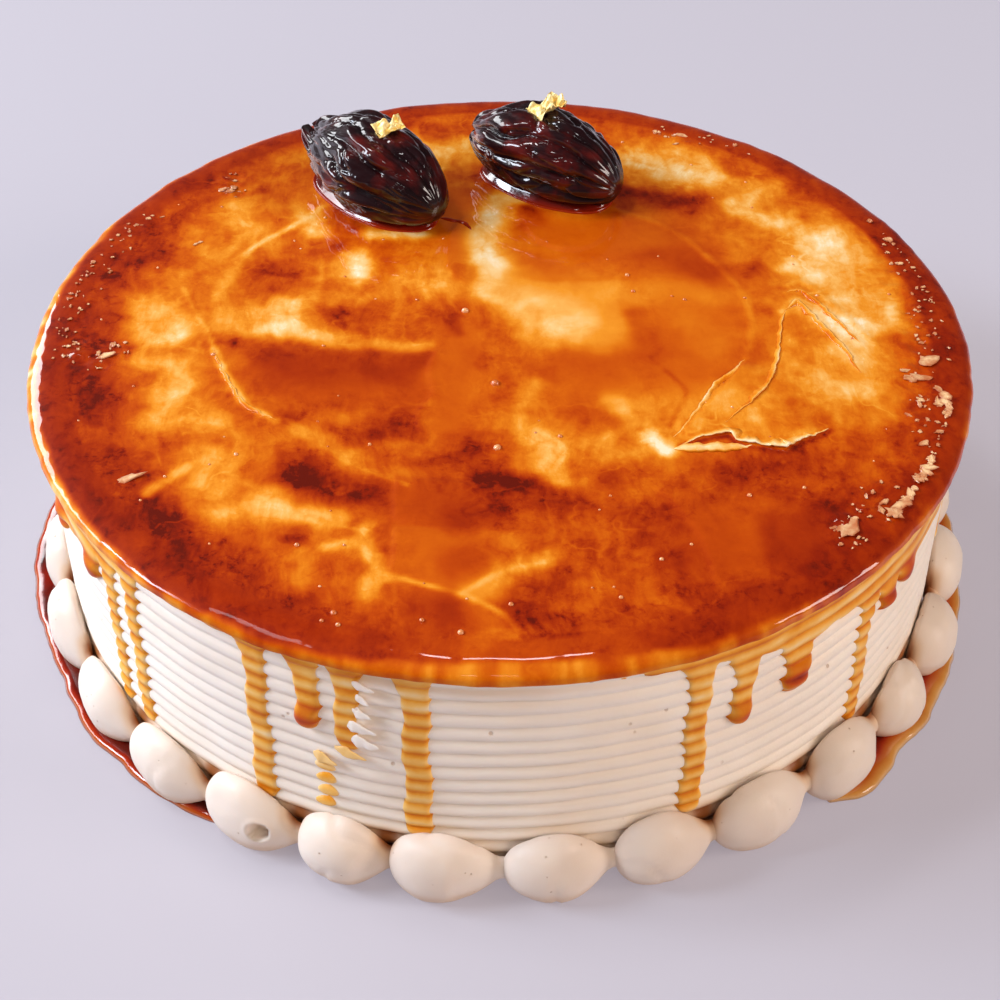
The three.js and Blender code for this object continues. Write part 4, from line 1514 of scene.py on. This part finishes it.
# %% Pool outlines
POOLS = {
    # azimuth and how far out the pool reaches there
    "caramel_pool_left": (
        (-204, 101), (-196, 106.4), (-187, 107.8), (-179, 107.9), (-174, 107.1), (-164, 105.2), (-156, 104.0),
        (-149, 104.4), (-145, 104.9), (-140, 103.2), (-134, 103.0), (-128, 101.6), (-124, 100),
    ),
    "caramel_pool_right": (
        (-49, 101.5), (-47, 104.6), (-45, 106.6), (-40, 105.8), (-37, 104.6), (-32, 106.4), (-27, 105.6),
        (-24, 106.4), (-17, 105.4), (-14, 105.2), (-5, 105.6), (4, 106.8), (13, 106), (22, 101),
    ),
}
POOL_INSIDE = 98.0
POOL_DEPTH = 1.3
POOL_STEPS = 150
POOL_TOP_POINTS = 16
POOL_UNDER_POINTS = 6
POOL_EVEN = 7


def pool_body(outline, shore):
    at, reach = zip(*outline)
    degrees = np.linspace(at[0], at[-1], POOL_STEPS)
    outer = np.interp(degrees, at, reach)
    padded = np.pad(outer, POOL_EVEN // 2, mode="edge")
    outer = np.convolve(padded, np.ones(POOL_EVEN) / POOL_EVEN, mode="valid")
    outer += 0.25 * lumps(polar(outer, degrees, 0.0), 4, 72, 2)
    rings = []
    edge_share = []
    shares = np.concatenate((np.linspace(0, 1, POOL_TOP_POINTS), np.linspace(1, 0, POOL_UNDER_POINTS)[1:]))
    for here, out in zip(degrees, outer):
        width = max(out - POOL_INSIDE, 0.6)
        dome = np.sqrt(np.clip(1 - np.clip((shares - 0.5) / 0.5, 0, 1) ** 2, 0, 1))
        top = np.arange(len(shares)) < POOL_TOP_POINTS
        height = np.where(top, POOL_DEPTH * min(1, width / 4) * dome, 0.0)
        rings.append(polar(POOL_INSIDE + shares * width, np.full(len(shares), here), height))
        edge_share.append(1 - np.clip((1 - shares) * width / shore, 0, 1))
    first = rings[0].mean(axis=0)
    last = rings[-1].mean(axis=0)
    values = np.concatenate([[0.5], *edge_share, [0.5]])
    return sew_rings([first] + rings + [last]), values


print("pools span", [outline[-1][0] - outline[0][0] for outline in POOLS.values()], "degrees")

# %% [markdown]
# A pool is nearly black where it is deep and thins to amber at its shore, so a stored value says how
# near the shore each point is. Its surface is still liquid: smooth, with a clear coat that comes and
# goes, which breaks the glint along its edge into short strokes.

# %% Pool finish
POOL_RAMP = [
    (0.00, colour(226, 188, 138)),
    (0.25, colour(208, 146, 72)),
    (0.50, colour(188, 96, 28)),
    (0.72, colour(166, 44, 10)),
    (0.88, colour(120, 20, 6)),
    (1.00, colour(50, 10, 6)),
]


def pool_finish(name, deep, shallow):
    material, tone, place = new_finish(name)
    shore = stored(tone, "shore")
    clouds = grain(place, 9, 4, 0.6) - 0.5
    depth = deep - (deep - shallow) * shore + clouds * 0.3
    finish_with(
        tone,
        Base_Color=ramp(depth, POOL_RAMP),
        Roughness=0.12 + 0.06 * clouds,
        Normal=relief(tone, clouds, 0.4, 0.4),
        Coat_Weight=0.12 + 0.88 * grain(place, 13, 1).fade(0.46, 0.58),
        Coat_Roughness=0.02,
    )
    return material


# Width of the pale shore in mm, then depth inside and at the shore
POOL_TONES = {"caramel_pool_left": (1.8, 0.92, 0.5), "caramel_pool_right": (4.5, 0.86, 0.12)}
for node, outline in POOLS.items():
    shore_width, inside_depth, shore_depth = POOL_TONES[node]
    shape, shore = pool_body(outline, shore_width)
    wet = pool_finish(node, inside_depth, shore_depth)
    make_piece(node + "_wet", shape, wet, [node], {"shore": shore})

# %% [markdown]
# ## The dates
# Two dates lie on the glaze, dark as plums and shining with syrup. Their skin has shrunk over the
# flesh into plump lengthwise folds with sharp creases between them. Noise stretched along the fruit
# and folded at zero gives just that: rounded swellings that meet in narrow valleys.

# %% One wrinkled date
DATE_SEAT = 62.0
DATES = {
    # place, length, width and height, bearing and seed
    "date_left": ((-28.8, 53.0), (43, 23.5, 18.5), -44.5, 80),
    "date_right": ((10.6, 58.4), (40, 21.5, 18), -33, 93),
}
STEM_RAGGED = {"date_left": 4.2, "date_right": 1.6}
STEM_FROM = 0.84
DATE_SIDES = 190
DATE_STATIONS = 170
DATE_WAIST = 0.46
DATE_FOLDS = 11
BIG_FOLD = 0.19
SMALL_FOLD = 0.09
TINY_FOLD = 0.02


def folds(along, angle, across_rate, along_rate, seed):
    """Plump swellings from 0 in a crease to 1, long in the direction of the fruit."""
    place = np.column_stack((np.cos(angle) * across_rate, np.sin(angle) * across_rate, along * along_rate))
    bend = 0.5 * lumps(place, 1.1, seed + 1)
    return np.clip(np.abs(lumps(place + bend[:, None], 1.0, seed)), 0, 1) ** 0.65


def to_cake(local, at, bearing, seat):
    turn = math.radians(bearing)
    x = at[0] + local[:, 0] * math.cos(turn) - local[:, 1] * math.sin(turn)
    y = at[1] + local[:, 0] * math.sin(turn) + local[:, 1] * math.cos(turn)
    return np.column_stack((x, y, seat + local[:, 2]))


def date_body(at, size, bearing, seed, ragged):
    length, width, height = size
    rings = []
    crease_shades = []
    for station in range(DATE_STATIONS + 1):
        turn = math.pi * station / DATE_STATIONS
        angle = np.arange(DATE_SIDES) * 2 * np.pi / DATE_SIDES
        along = np.full(DATE_SIDES, -math.cos(turn))
        girth = math.sin(turn) ** 0.86
        spine = np.column_stack((np.cos(angle) * 1.5, np.sin(angle) * 1.5, along * 1.3))
        bend = 1.5 * lumps(spine, 1.0, seed + 1, 2)
        big = np.abs(np.sin(DATE_FOLDS / 2 * angle + bend)) ** 0.7
        big = big * np.clip(0.75 + 0.5 * lumps(spine, 0.9, seed + 2), 0.3, 1.2)
        small = folds(along, angle, 3.6, 2.4, seed + 10)
        tiny = folds(along, angle, 8.0, 5.0, seed + 20)
        calm = min(1.0, 0.25 + girth)
        wrinkled = BIG_FOLD * (big - 0.6) + SMALL_FOLD * (small - 0.5) + TINY_FOLD * (tiny - 0.5)
        full = 0.98 - 0.07 * along + calm * wrinkled
        y = girth * full * np.cos(angle) * width / 2
        waist = DATE_WAIST - 0.2 * np.maximum(along, 0) ** 2 - 0.08 * np.maximum(-along, 0) ** 2
        z = height * (waist + (1 - DATE_WAIST) * full * girth * np.sin(angle))
        x = along * (length / 2 - 0.5 * ragged) + 0.4 * ragged
        stem = ease(-along, STEM_FROM, 1.0)
        around = np.column_stack((np.cos(angle) * 2.2, np.sin(angle) * 2.2, 0 * angle))
        torn = np.abs(lumps(around, 1.0, seed + 30))
        x = x - ragged * stem * torn
        z = z + 0.5 * ragged * stem * torn
        local = np.column_stack((x, y, np.maximum(z, 0)))
        # how deep in a crease each point lies; the finish paints shade there
        crease = np.clip(1 - 1.6 * np.minimum(big, 0.7 * small + 0.2), 0, 1)
        if 0 < station < DATE_STATIONS:
            rings.append(local)
            crease_shades.append(crease)
        else:
            rings.append(local.mean(axis=0))
            crease_shades.append(crease[:1])
    points, faces = sew_rings(rings)
    return (to_cake(points, at, bearing, DATE_SEAT), faces), np.concatenate(crease_shades)


print("dates are", [size[0] for _, size, _, _ in DATES.values()], "mm long")

# %% [markdown]
# The skin is dark plum with redder clouds where light gets through, and the creases are painted almost
# black: painted shade. Nearly all that is seen of it is gloss, so a full clear coat lies over it, and
# the folds of the mesh break the windows' reflections into small bright glints.

# %% Date finish
def date_finish():
    material, tone, place = new_finish("date_skin")
    crease = stored(tone, "crease")
    clouds = grain(place, 7, 3, 0.55)
    fine = grain(place, 1.6, 4, 0.6, 0.6)
    skin = clouds.fade(0.44, 0.7).mix(colour(32, 9, 13), colour(92, 19, 15))
    finish_with(
        tone,
        # the creases are painted near black: painted shade
        Base_Color=(crease * 0.85).mix(skin, colour(16, 5, 8)),
        Roughness=0.3 + 0.15 * fine,
        Normal=relief(tone, fine, 0.3, 0.12),
        Specular_IOR_Level=0.1,
        Coat_Weight=1.0,
        Coat_Roughness=0.03,
    )
    return material


date_skin = date_finish()
for node, spec in DATES.items():
    shape, crease_shades = date_body(*spec, STEM_RAGGED[node])
    make_piece(node + "_fruit", shape, date_skin, [node], {"crease": crease_shades})

# %% [markdown]
# ## Syrup round the dates
# Each date sits in a narrow puddle of dark syrup: a low rounded toe on the glaze, then a slope that
# climbs the date's flank and holds one long glint. Where it meets the fruit it is painted near black:
# deep syrup and a painted shadow under the date. A liquid simulation could give it, but a section
# swept round the date, with noise in its width and slope, is quicker and stays the same each run.

# %% Syrup skirts
SYRUP_LOOP = 160
SYRUP_POINTS = 30
SYRUP_SPREAD = 1.1
SYRUP_INSIDE = 2.5
SYRUP_TOE = 0.22
SYRUP_RIM = 0.6
SYRUP_SLOPE = 0.88
SYRUP_BEVEL = 1.3
SYRUP_CLIMB = 1.4
SYRUP_LONG = 0.82
SYRUP_WIDE = 0.79
SYRUP_SUNK = -0.8


def syrup_body(at, size, bearing, seed):
    length, width, _ = size
    rings = []
    shores = []
    shares = np.linspace(0, 1, SYRUP_POINTS)
    for k in range(SYRUP_LOOP):
        angle = 2 * math.pi * k / SYRUP_LOOP
        around = np.array([[math.cos(angle) * 2, math.sin(angle) * 2, seed]])
        wave = float(lumps(around, 1.0, seed)[0])
        slope = SYRUP_SLOPE + 0.12 * float(lumps(around * 2, 1.0, seed + 5)[0])
        spread = SYRUP_SPREAD + 0.4 * wave + 0.3 * math.cos(angle)
        gap = (1 - shares) * (spread + SYRUP_INSIDE)
        toe = SYRUP_TOE * np.sqrt(np.clip(gap / SYRUP_TOE, 0, 1)) + 0.12 * gap
        rim = SYRUP_RIM * (1 + 0.5 * wave)
        climb = SYRUP_CLIMB * np.maximum(gap - rim - SYRUP_BEVEL, 0)
        lift = toe + slope * np.clip(gap - rim, 0, SYRUP_BEVEL) + climb
        height = np.concatenate((lift - 0.3 * (gap < 0.01), [SYRUP_SUNK]))
        reach = np.concatenate((spread - gap, [-SYRUP_INSIDE]))
        x = (length / 2 * SYRUP_LONG + reach) * math.cos(angle)
        y = (width / 2 * SYRUP_WIDE + reach) * math.sin(angle)
        rings.append(np.column_stack((x, y, height)))
        # shore is 0 where the syrup meets the fruit, where the finish paints it darkest: deep syrup and
        # painted shadow
        shores.append(np.concatenate((shares ** 3, [0.0])))
    points = np.vstack(rings)
    loop = len(rings[0])
    faces = []
    for k in range(SYRUP_LOOP):
        faces += sew(k * loop, loop, (k + 1) % SYRUP_LOOP * loop, loop)
    return (to_cake(points, at, bearing, GLAZE_TOP + 0.15), faces), np.concatenate(shores)


# near black at the fruit: deep syrup and a painted contact shadow under the date
syrup = pool_finish("date_syrup_and_contact_shadow", 1.0, 0.74)
for node, spec in DATES.items():
    shape, shore = syrup_body(*spec)
    make_piece(node + "_syrup", shape, syrup, [], {"shore": shore})

# %% [markdown]
# From the left date one thin thread of syrup ran a little way over the glaze. It is a strip like those
# of the torn skin, with a round section.

# %% Thread of syrup
THREAD_LINE = [(-14, 44), (-10.5, 42.6), (-8, 41), (-6.5, 38.4)]
THREAD_RAGGED = 0.1
THREAD_SHORE = 0.9
THREAD_SEED = 160
thread_section = [(0.8 * math.cos(a), 0.5 * math.sin(a) - 0.1) for a in np.arange(10) * math.pi / 5]
thread_shape = strip_body(THREAD_LINE, thread_section, THREAD_RAGGED, THREAD_SEED)
thread_shore = np.full(len(thread_shape[0]), THREAD_SHORE)
make_piece("syrup_thread", thread_shape, syrup, [], {"shore": thread_shore})

# %% [markdown]
# ## Gold leaf
# A scrap of leaf was laid on each date. It is so thin that it crumples under its own touch, so it is
# a little sheet thrown into folds, with frayed ends.

# %% Crumpled leaf
LEAVES = {
    # place, length and width, turn, tilt and seed
    "gold_leaf_left": ((-25.0, 51.4, 80.6), (6.4, 5.0), 25, 0.15, 110),
    "gold_leaf_right": ((10.6, 60.4, 80.6), (6.8, 7.0), 30, 0.3, 121),
}
LEAF_THICKNESS = 0.12
LEAF_ACROSS = 22
LEAF_ALONG = 28
LEAF_CRUMPLE = 1.5


def leaf_body(at, size, turn, tilt, seed):
    length, width = size
    rings = []
    row = np.linspace(-0.5, 0.5, LEAF_ACROSS)
    across = np.concatenate((row, np.linspace(0.5, -0.5, LEAF_ACROSS)))
    face = np.repeat((0.5, -0.5), LEAF_ACROSS)
    for along in np.linspace(-0.5, 0.5, LEAF_ALONG):
        here = np.full(len(across), along)
        grid = np.column_stack((here * length, across * width, np.full(len(across), seed * 1.0)))
        waist = 0.62 + 0.38 * np.abs(2 * along) ** 1.2
        fray = 0.5 * lumps(grid * np.array((1, 1, 0)), 1.3, seed + 3)
        crumple = np.abs(lumps(grid, 2.6, seed)) + 0.5 * np.abs(lumps(grid, 1.2, seed + 1)) - 0.5
        x = here * length + fray * np.abs(across) * 1.5
        y = across * width * waist + fray * abs(along) * 1.5
        z = crumple * LEAF_CRUMPLE + face * LEAF_THICKNESS + x * tilt
        rings.append(np.column_stack((x, y, z)))
    points, faces = sew_rings([rings[0].mean(axis=0)] + rings + [rings[-1].mean(axis=0)])
    return to_cake(points, at[:2], turn, at[2]), faces


def leaf_finish():
    material, tone, place = new_finish("gold_leaf")
    cloud = grain(place, 1.4, 4, 0.6)
    finish_with(
        tone,
        Base_Color=cloud.fade(0.3, 0.7).mix(colour(248, 200, 84), colour(255, 240, 180)),
        Metallic=0.2,
        Roughness=0.25 + 0.2 * cloud,
        Normal=relief(tone, cloud, 0.3, 0.6),
    )
    return material


gold = leaf_finish()
for name, spec in LEAVES.items():
    make_piece(name, leaf_body(*spec), gold)

# %% [markdown]
# ## Flakes and crumbs
# Near the rim the crust of the glaze broke into dry beige flakes, in clusters on the right and a few
# on the left. A particle system could scatter copies of one flake, but no two real ones are alike, so
# each is a small crumpled lens of its own, and all are joined to one mesh.

# %% Scatter of flakes
# x, y, half length, half width and turn of the flakes that stand out
LARGE_FLAKES = [
    (-72.6, -47.2, 4.6, 1.2, 0.42), (87, -15.5, 2.8, 1.3, -0.25), (85.6, -23, 1.1, 0.9, 0.3),
    (90.2, -23.4, 2.2, 1.2, -0.8), (91.4, -27.6, 2.0, 0.9, 0.9), (87.6, -33, 1.4, 0.7, 0.2),
    (84.6, -46, 2.2, 1.0, -0.9), (86, -49.4, 2.2, 1.1, 1.2), (79.4, -56.6, 3.0, 1.4, 0.5),
    (76.4, -58.2, 2.6, 1.2, -0.5), (81.4, -53.2, 2.2, 1.1, 1.5), (65.6, -61.4, 4.4, 2.4, 1.25),
    (89, -10, 3.6, 2.0, 0.5), (-63, 55, 1.6, 1.0, 0.4), (-82.4, -8, 2.4, 1.0, 0.3),
    (44, 80, 2.4, 0.8, -0.3),
]
# x, y, spread, count and size of the clusters round them
FLAKE_CLUSTERS = [
    (86, -15, 1.2, 3, 2.6), (90, -22, 1.6, 5, 2.4), (91, -27, 1.2, 3, 2.0), (85, -24, 1.6, 3, 1.4),
    (85, -32, 2.2, 4, 1.3), (86, -42, 2.0, 4, 1.8), (85, -47, 1.6, 5, 2.4), (83, -53, 1.8, 4, 2.0),
    (78, -57, 1.8, 6, 3.0), (75, -58, 1.2, 3, 2.4), (72, -51, 1.4, 4, 1.5), (65, -61, 1.6, 4, 1.6),
    (88, 34, 1.8, 4, 1.6), (90, 25, 1.6, 3, 1.2), (86, 43, 1.5, 3, 1.2), (90, 8, 2.0, 3, 1.0),
    (44, 80, 2.6, 4, 1.5), (-63, 55, 1.2, 4, 1.7), (-80, 46, 1.8, 3, 1.2), (-84, 40, 1.5, 2, 1.1),
    (-91, 22, 1.5, 3, 1.1), (-94, 12, 1.5, 2, 0.9), (-82, -8, 1.5, 4, 1.3), (-93, -4, 1.5, 2, 0.9),
    (-68, 33, 0.8, 2, 1.2), (58, 74, 2.6, 3, 1.0),
]
# Share of the way out and height of a flake's rings, over its top and back under it
FLAKE_SECTION = ((0.0, 0.2), (0.45, 0.2), (0.85, 0.17), (1.0, 0.06), (0.9, -0.1), (0.0, -0.3))
FLAKE_SIDES = 11
FLAKE_LIMIT = 94.5
CRUMBS_PER_MM = 1.2


def ground_at(x, y):
    """Height of the glaze's top at one place."""
    return GLAZE_TOP + float(glaze_rise(np.array([[x, y]]))[0])


def flake_body(rng, x, y, long, wide, turn):
    """A thin curled scrap with a ragged outline, and a value that rises to 1 at its edge."""
    angle = np.arange(FLAKE_SIDES) * 2 * np.pi / FLAKE_SIDES
    outline = rng.uniform(0.5, 1.0, FLAKE_SIDES)
    tilt = rng.uniform(-0.1, 0.1, 2)
    curl = rng.uniform(-0.05, 0.12)
    toasted = rng.uniform(0.0, 0.8) ** 2
    rings = []
    edges = []
    for share, lift in FLAKE_SECTION:
        across = share * outline * long * np.cos(angle)
        along = share * outline * wide * np.sin(angle)
        px = across * math.cos(turn) - along * math.sin(turn)
        py = across * math.sin(turn) + along * math.cos(turn)
        rough = rng.uniform(-0.1, 0.1, FLAKE_SIDES) * share
        pz = lift * min(1.0, wide) + tilt[0] * px + tilt[1] * py + curl * across ** 2 / long + rough
        ring = np.column_stack((px, py, pz))
        rings.append(ring if share else ring.mean(axis=0))
        edges.append(np.full(FLAKE_SIDES if share else 1, max(share ** 3, toasted)))
    points, faces = sew_rings(rings)
    return points + np.array((x, y, ground_at(x, y) + 0.1)), faces, np.concatenate(edges)


def scattered_flakes():
    """Places, sizes and turns of all flakes: the large ones, clusters and crumbs on the dry rim."""
    rng = np.random.default_rng(31)
    for row in LARGE_FLAKES:
        yield (rng, *row)
    for x, y, spread, count, size in FLAKE_CLUSTERS:
        for _ in range(count):
            dx, dy = rng.normal(0, spread, 2)
            long = size * rng.uniform(0.4, 1.0)
            wide = long * rng.uniform(0.35, 0.8)
            yield rng, x + dx, y + dy, long, wide, rng.uniform(0, 2 * np.pi)
    for reach, points in DRY_STROKES:
        line = smooth_line(points)
        length = np.hypot(*(line[1:] - line[:-1]).T).sum()
        for _ in range(round(CRUMBS_PER_MM * length)):
            x, y = line[rng.integers(len(line))] + rng.normal(0, 0.45 * reach, 2)
            long = rng.uniform(0.25, 0.8)
            wide = long * rng.uniform(0.4, 0.9)
            yield rng, x, y, long, wide, rng.uniform(0, 2 * np.pi)


def flakes_body():
    bodies = []
    edges = []
    for rng, x, y, *rest in scattered_flakes():
        pull = min(1.0, FLAKE_LIMIT / math.hypot(x, y))
        points, faces, edge = flake_body(rng, x * pull, y * pull, *rest)
        bodies.append((points, faces))
        edges.append(edge)
    return join_bodies(bodies), np.concatenate(edges)


def flake_finish():
    material, tone, place = new_finish("dry_flakes")
    clouds = grain(place, 3.0, 3, 0.6)
    fine = grain(place, 0.6, 3, 0.6)
    beige = clouds.fade(0.35, 0.65).mix(colour(246, 206, 152), colour(204, 128, 80))
    finish_with(
        tone,
        Base_Color=(stored(tone, "edge") * 0.75).mix(beige, colour(176, 82, 40)),
        Roughness=0.3 + 0.2 * fine,
        Normal=relief(tone, fine, 0.15, 0.5),
        Coat_Weight=0.5,
        Coat_Roughness=0.08,
    )
    return material


flakes = flake_finish()
flakes_shape, flake_edges = flakes_body()
make_piece("dry_flakes", flakes_shape, flakes, [], {"edge": flake_edges}, smooth=False)

# %% [markdown]
# Small bubbles set in the wet films and stand up as shiny beads. A few that catch the eye are listed
# one by one and the rest are strewn with a fixed seed. Each is a flattened ball, half sunk in the glaze.

# %% Bubbles in the wet glaze
# x, y and radius of the bubbles that stand out
BUBBLES = [
    (-1, -17, 0.9), (-0.5, -37.5, 0.8), (12, -34, 0.5), (-7.5, 8, 0.8), (28, 21, 0.5), (29, 15, 0.5),
    (-38, -66, 0.5), (-30, -84, 0.6), (-32, -86, 0.45), (-29, -87, 0.5), (-14, -86, 0.5), (-7, -89, 0.6),
    (2, -82, 0.5), (22, -80, 0.45), (-60, -8, 0.5), (40, 12, 0.4), (48, -52, 0.5), (-18, 12, 0.4),
    (-52, -40, 0.45), (30, -70, 0.45),
]
SMALL_BUBBLES = 60
BUBBLE_REACH = 90
BUBBLE_FLAT = 0.75
BUBBLE_SIDES = 14
BUBBLE_RINGS = 7


def bubble_body(x, y, radius):
    angle = np.arange(BUBBLE_SIDES) * 2 * np.pi / BUBBLE_SIDES
    middle = np.array((x, y, ground_at(x, y)))
    rings = []
    for share in np.linspace(0, 1, BUBBLE_RINGS):
        turn = math.pi * share
        ring = polar(radius * math.sin(turn), np.degrees(angle), BUBBLE_FLAT * radius * math.cos(turn))
        ring = ring + middle
        rings.append(ring if 0 < share < 1 else ring.mean(axis=0))
    return sew_rings(rings)


def bubble_glint_finish():
    material, tone, place = new_finish("glaze_bubbles_and_glints")
    clouds = grain(place, 5, 2)
    finish_with(
        tone,
        # the pale colour stands in for part of each bead's glint: a painted highlight; the clear coat adds a
        # real one
        Base_Color=clouds.fade(0.4, 0.6).mix(colour(240, 168, 110), colour(212, 110, 50)),
        Roughness=0.15 + 0.1 * clouds,
        Coat_Weight=1.0,
        Coat_Roughness=0.02,
    )
    return material


def bubbles_body():
    rng = np.random.default_rng(53)
    bodies = [bubble_body(*row) for row in BUBBLES]
    for _ in range(SMALL_BUBBLES):
        away = BUBBLE_REACH * math.sqrt(rng.uniform(0.1, 1))
        x, y = polar(away, rng.uniform(-180, 180), 0.0)[:2]
        bodies.append(bubble_body(x, y, rng.uniform(0.2, 0.4)))
    return join_bodies(bodies)


make_piece("glaze_bubbles_and_glints", bubbles_body(), bubble_glint_finish())

# %% [markdown]
# ## Floor and light
# The cake stands on a plain pale floor. A little light of its own keeps the floor even up to its far
# end, where the lamps hardly reach.

# %% Floor
FLOOR_HALF = 3.0
FLOOR_LEVEL = -0.0002


def floor_finish():
    material, tone, place = new_finish("pale_floor")
    cloud = grain(place, 300, 2)
    finish_with(
        tone,
        Base_Color=cloud.mix(colour(150, 149, 156), colour(147, 146, 153)),
        Roughness=0.8,
        Specular_IOR_Level=0.1,
        Emission_Color=colour(218, 208, 222),
        Emission_Strength=0.38,
    )
    return material


floor_mesh = bpy.data.meshes.new("floor")
floor_signs = ((-1, -1), (1, -1), (1, 1), (-1, 1))
floor_corners = [(x * FLOOR_HALF, y * FLOOR_HALF, FLOOR_LEVEL) for x, y in floor_signs]
floor_mesh.from_pydata(floor_corners, [], [(0, 1, 2, 3)])
floor_mesh.materials.append(floor_finish())
floor = bpy.data.objects.new("floor", floor_mesh)
bpy.context.collection.objects.link(floor)
print("floor is", 2 * FLOOR_HALF, "m across")

# %% [markdown]
# The light comes from the left and a little behind, as from a row of windows: two low ones draw the
# long highlight on the lip, a side window whitens the cream and lays glints on the dates, and a small
# high one shines on the top. Fills that the gloss does not show lighten the shadows, warm at the
# front, and a rosy card at the right answers on the rim. Small lamps keep the glints small; one large
# light would veil the marbling.

# %% Soft lights
LIGHTS = {
    # azimuth, elevation, distance in m, width, height, watts, colour, seen in the gloss
    "window_left": (138, 25, 1.6, 0.74, 0.42, 9.6, (0.96, 0.97, 1.0), True),
    "window_edge": (164, 24, 1.6, 0.6, 0.32, 6.4, (0.95, 0.97, 1.02), True),
    "side_window": (-177, 38, 1.8, 0.7, 0.36, 16.6, (0.88, 0.96, 1.10), True),
    "high_window": (160, 66, 1.6, 0.32, 0.2, 4.4, (1.0, 0.98, 1.0), True),
    "front_lamp": (-95, 62, 1.6, 0.16, 0.12, 1.0, (1.0, 0.96, 0.96), True),
    "skylight": (90, 64, 1.6, 0.24, 0.05, 0.6, (1.0, 0.86, 0.85), True),
    "side_left": (-178, 32, 1.8, 0.9, 0.5, 12.0, (0.86, 0.95, 1.10), False),
    "overhead": (-95, 80, 2.0, 2.0, 2.0, 2.4, (1.0, 0.98, 0.96), False),
    "card_right": (-16, 27, 1.6, 0.5, 0.6, 10.5, (1.0, 0.87, 0.80), True),
    "fill_front": (-62, 32, 1.8, 1.2, 0.8, 8.8, (1.0, 0.77, 0.54), False),
}
AIM = Vector((0, 0, 0.04))


def soft_light(name, azimuth, elevation, distance, width, height, watts, tint, glossy):
    data = bpy.data.lights.new(name, "AREA")
    data.shape = "RECTANGLE"
    data.size = width
    data.size_y = height
    data.energy = watts
    data.color = tint
    lamp = bpy.data.objects.new(name, data)
    level = math.radians(elevation)
    turn = math.radians(azimuth)
    away = Vector((math.cos(level) * math.cos(turn), math.cos(level) * math.sin(turn), math.sin(level)))
    lamp.location = AIM + away * distance
    lamp.rotation_euler = away.to_track_quat("Z", "Y").to_euler()
    lamp.visible_glossy = glossy
    bpy.context.collection.objects.link(lamp)


for name, values in LIGHTS.items():
    soft_light(name, *values)
print(len(LIGHTS), "soft lights")

# %% [markdown]
# Gloss also mirrors what is round the cake, so the surroundings are a dim room: a little lighter near
# the horizon, which gives the lip and the dates a soft edge, and dark above, which keeps the top deep
# in colour.

# %% Surroundings
SKY_STOPS = [
    (0.50, (0.14, 0.125, 0.13, 1.0)),
    (0.58, (0.10, 0.09, 0.09, 1.0)),
    (0.66, (0.05, 0.047, 0.047, 1.0)),
    (0.90, (0.05, 0.047, 0.047, 1.0)),
]
world = bpy.data.worlds.new("studio")
world.use_nodes = True
world.node_tree.nodes.clear()
sky = Tone(world.node_tree)
direction = sky.node("ShaderNodeTexCoord", out="Generated")
height_up = sky.node("ShaderNodeSeparateXYZ", {}, {"Vector": direction}, out="Z")
sky_colour = ramp(height_up * 0.5 + 0.5, SKY_STOPS)
background = sky.node("ShaderNodeBackground", {}, {"Color": sky_colour, "Strength": 1.0})
sky.node("ShaderNodeOutputWorld", {}, {"Surface": background})
bpy.context.scene.world = world
bpy.context.scene.view_settings.view_transform = "Standard"
print("surroundings with", len(SKY_STOPS), "stops")
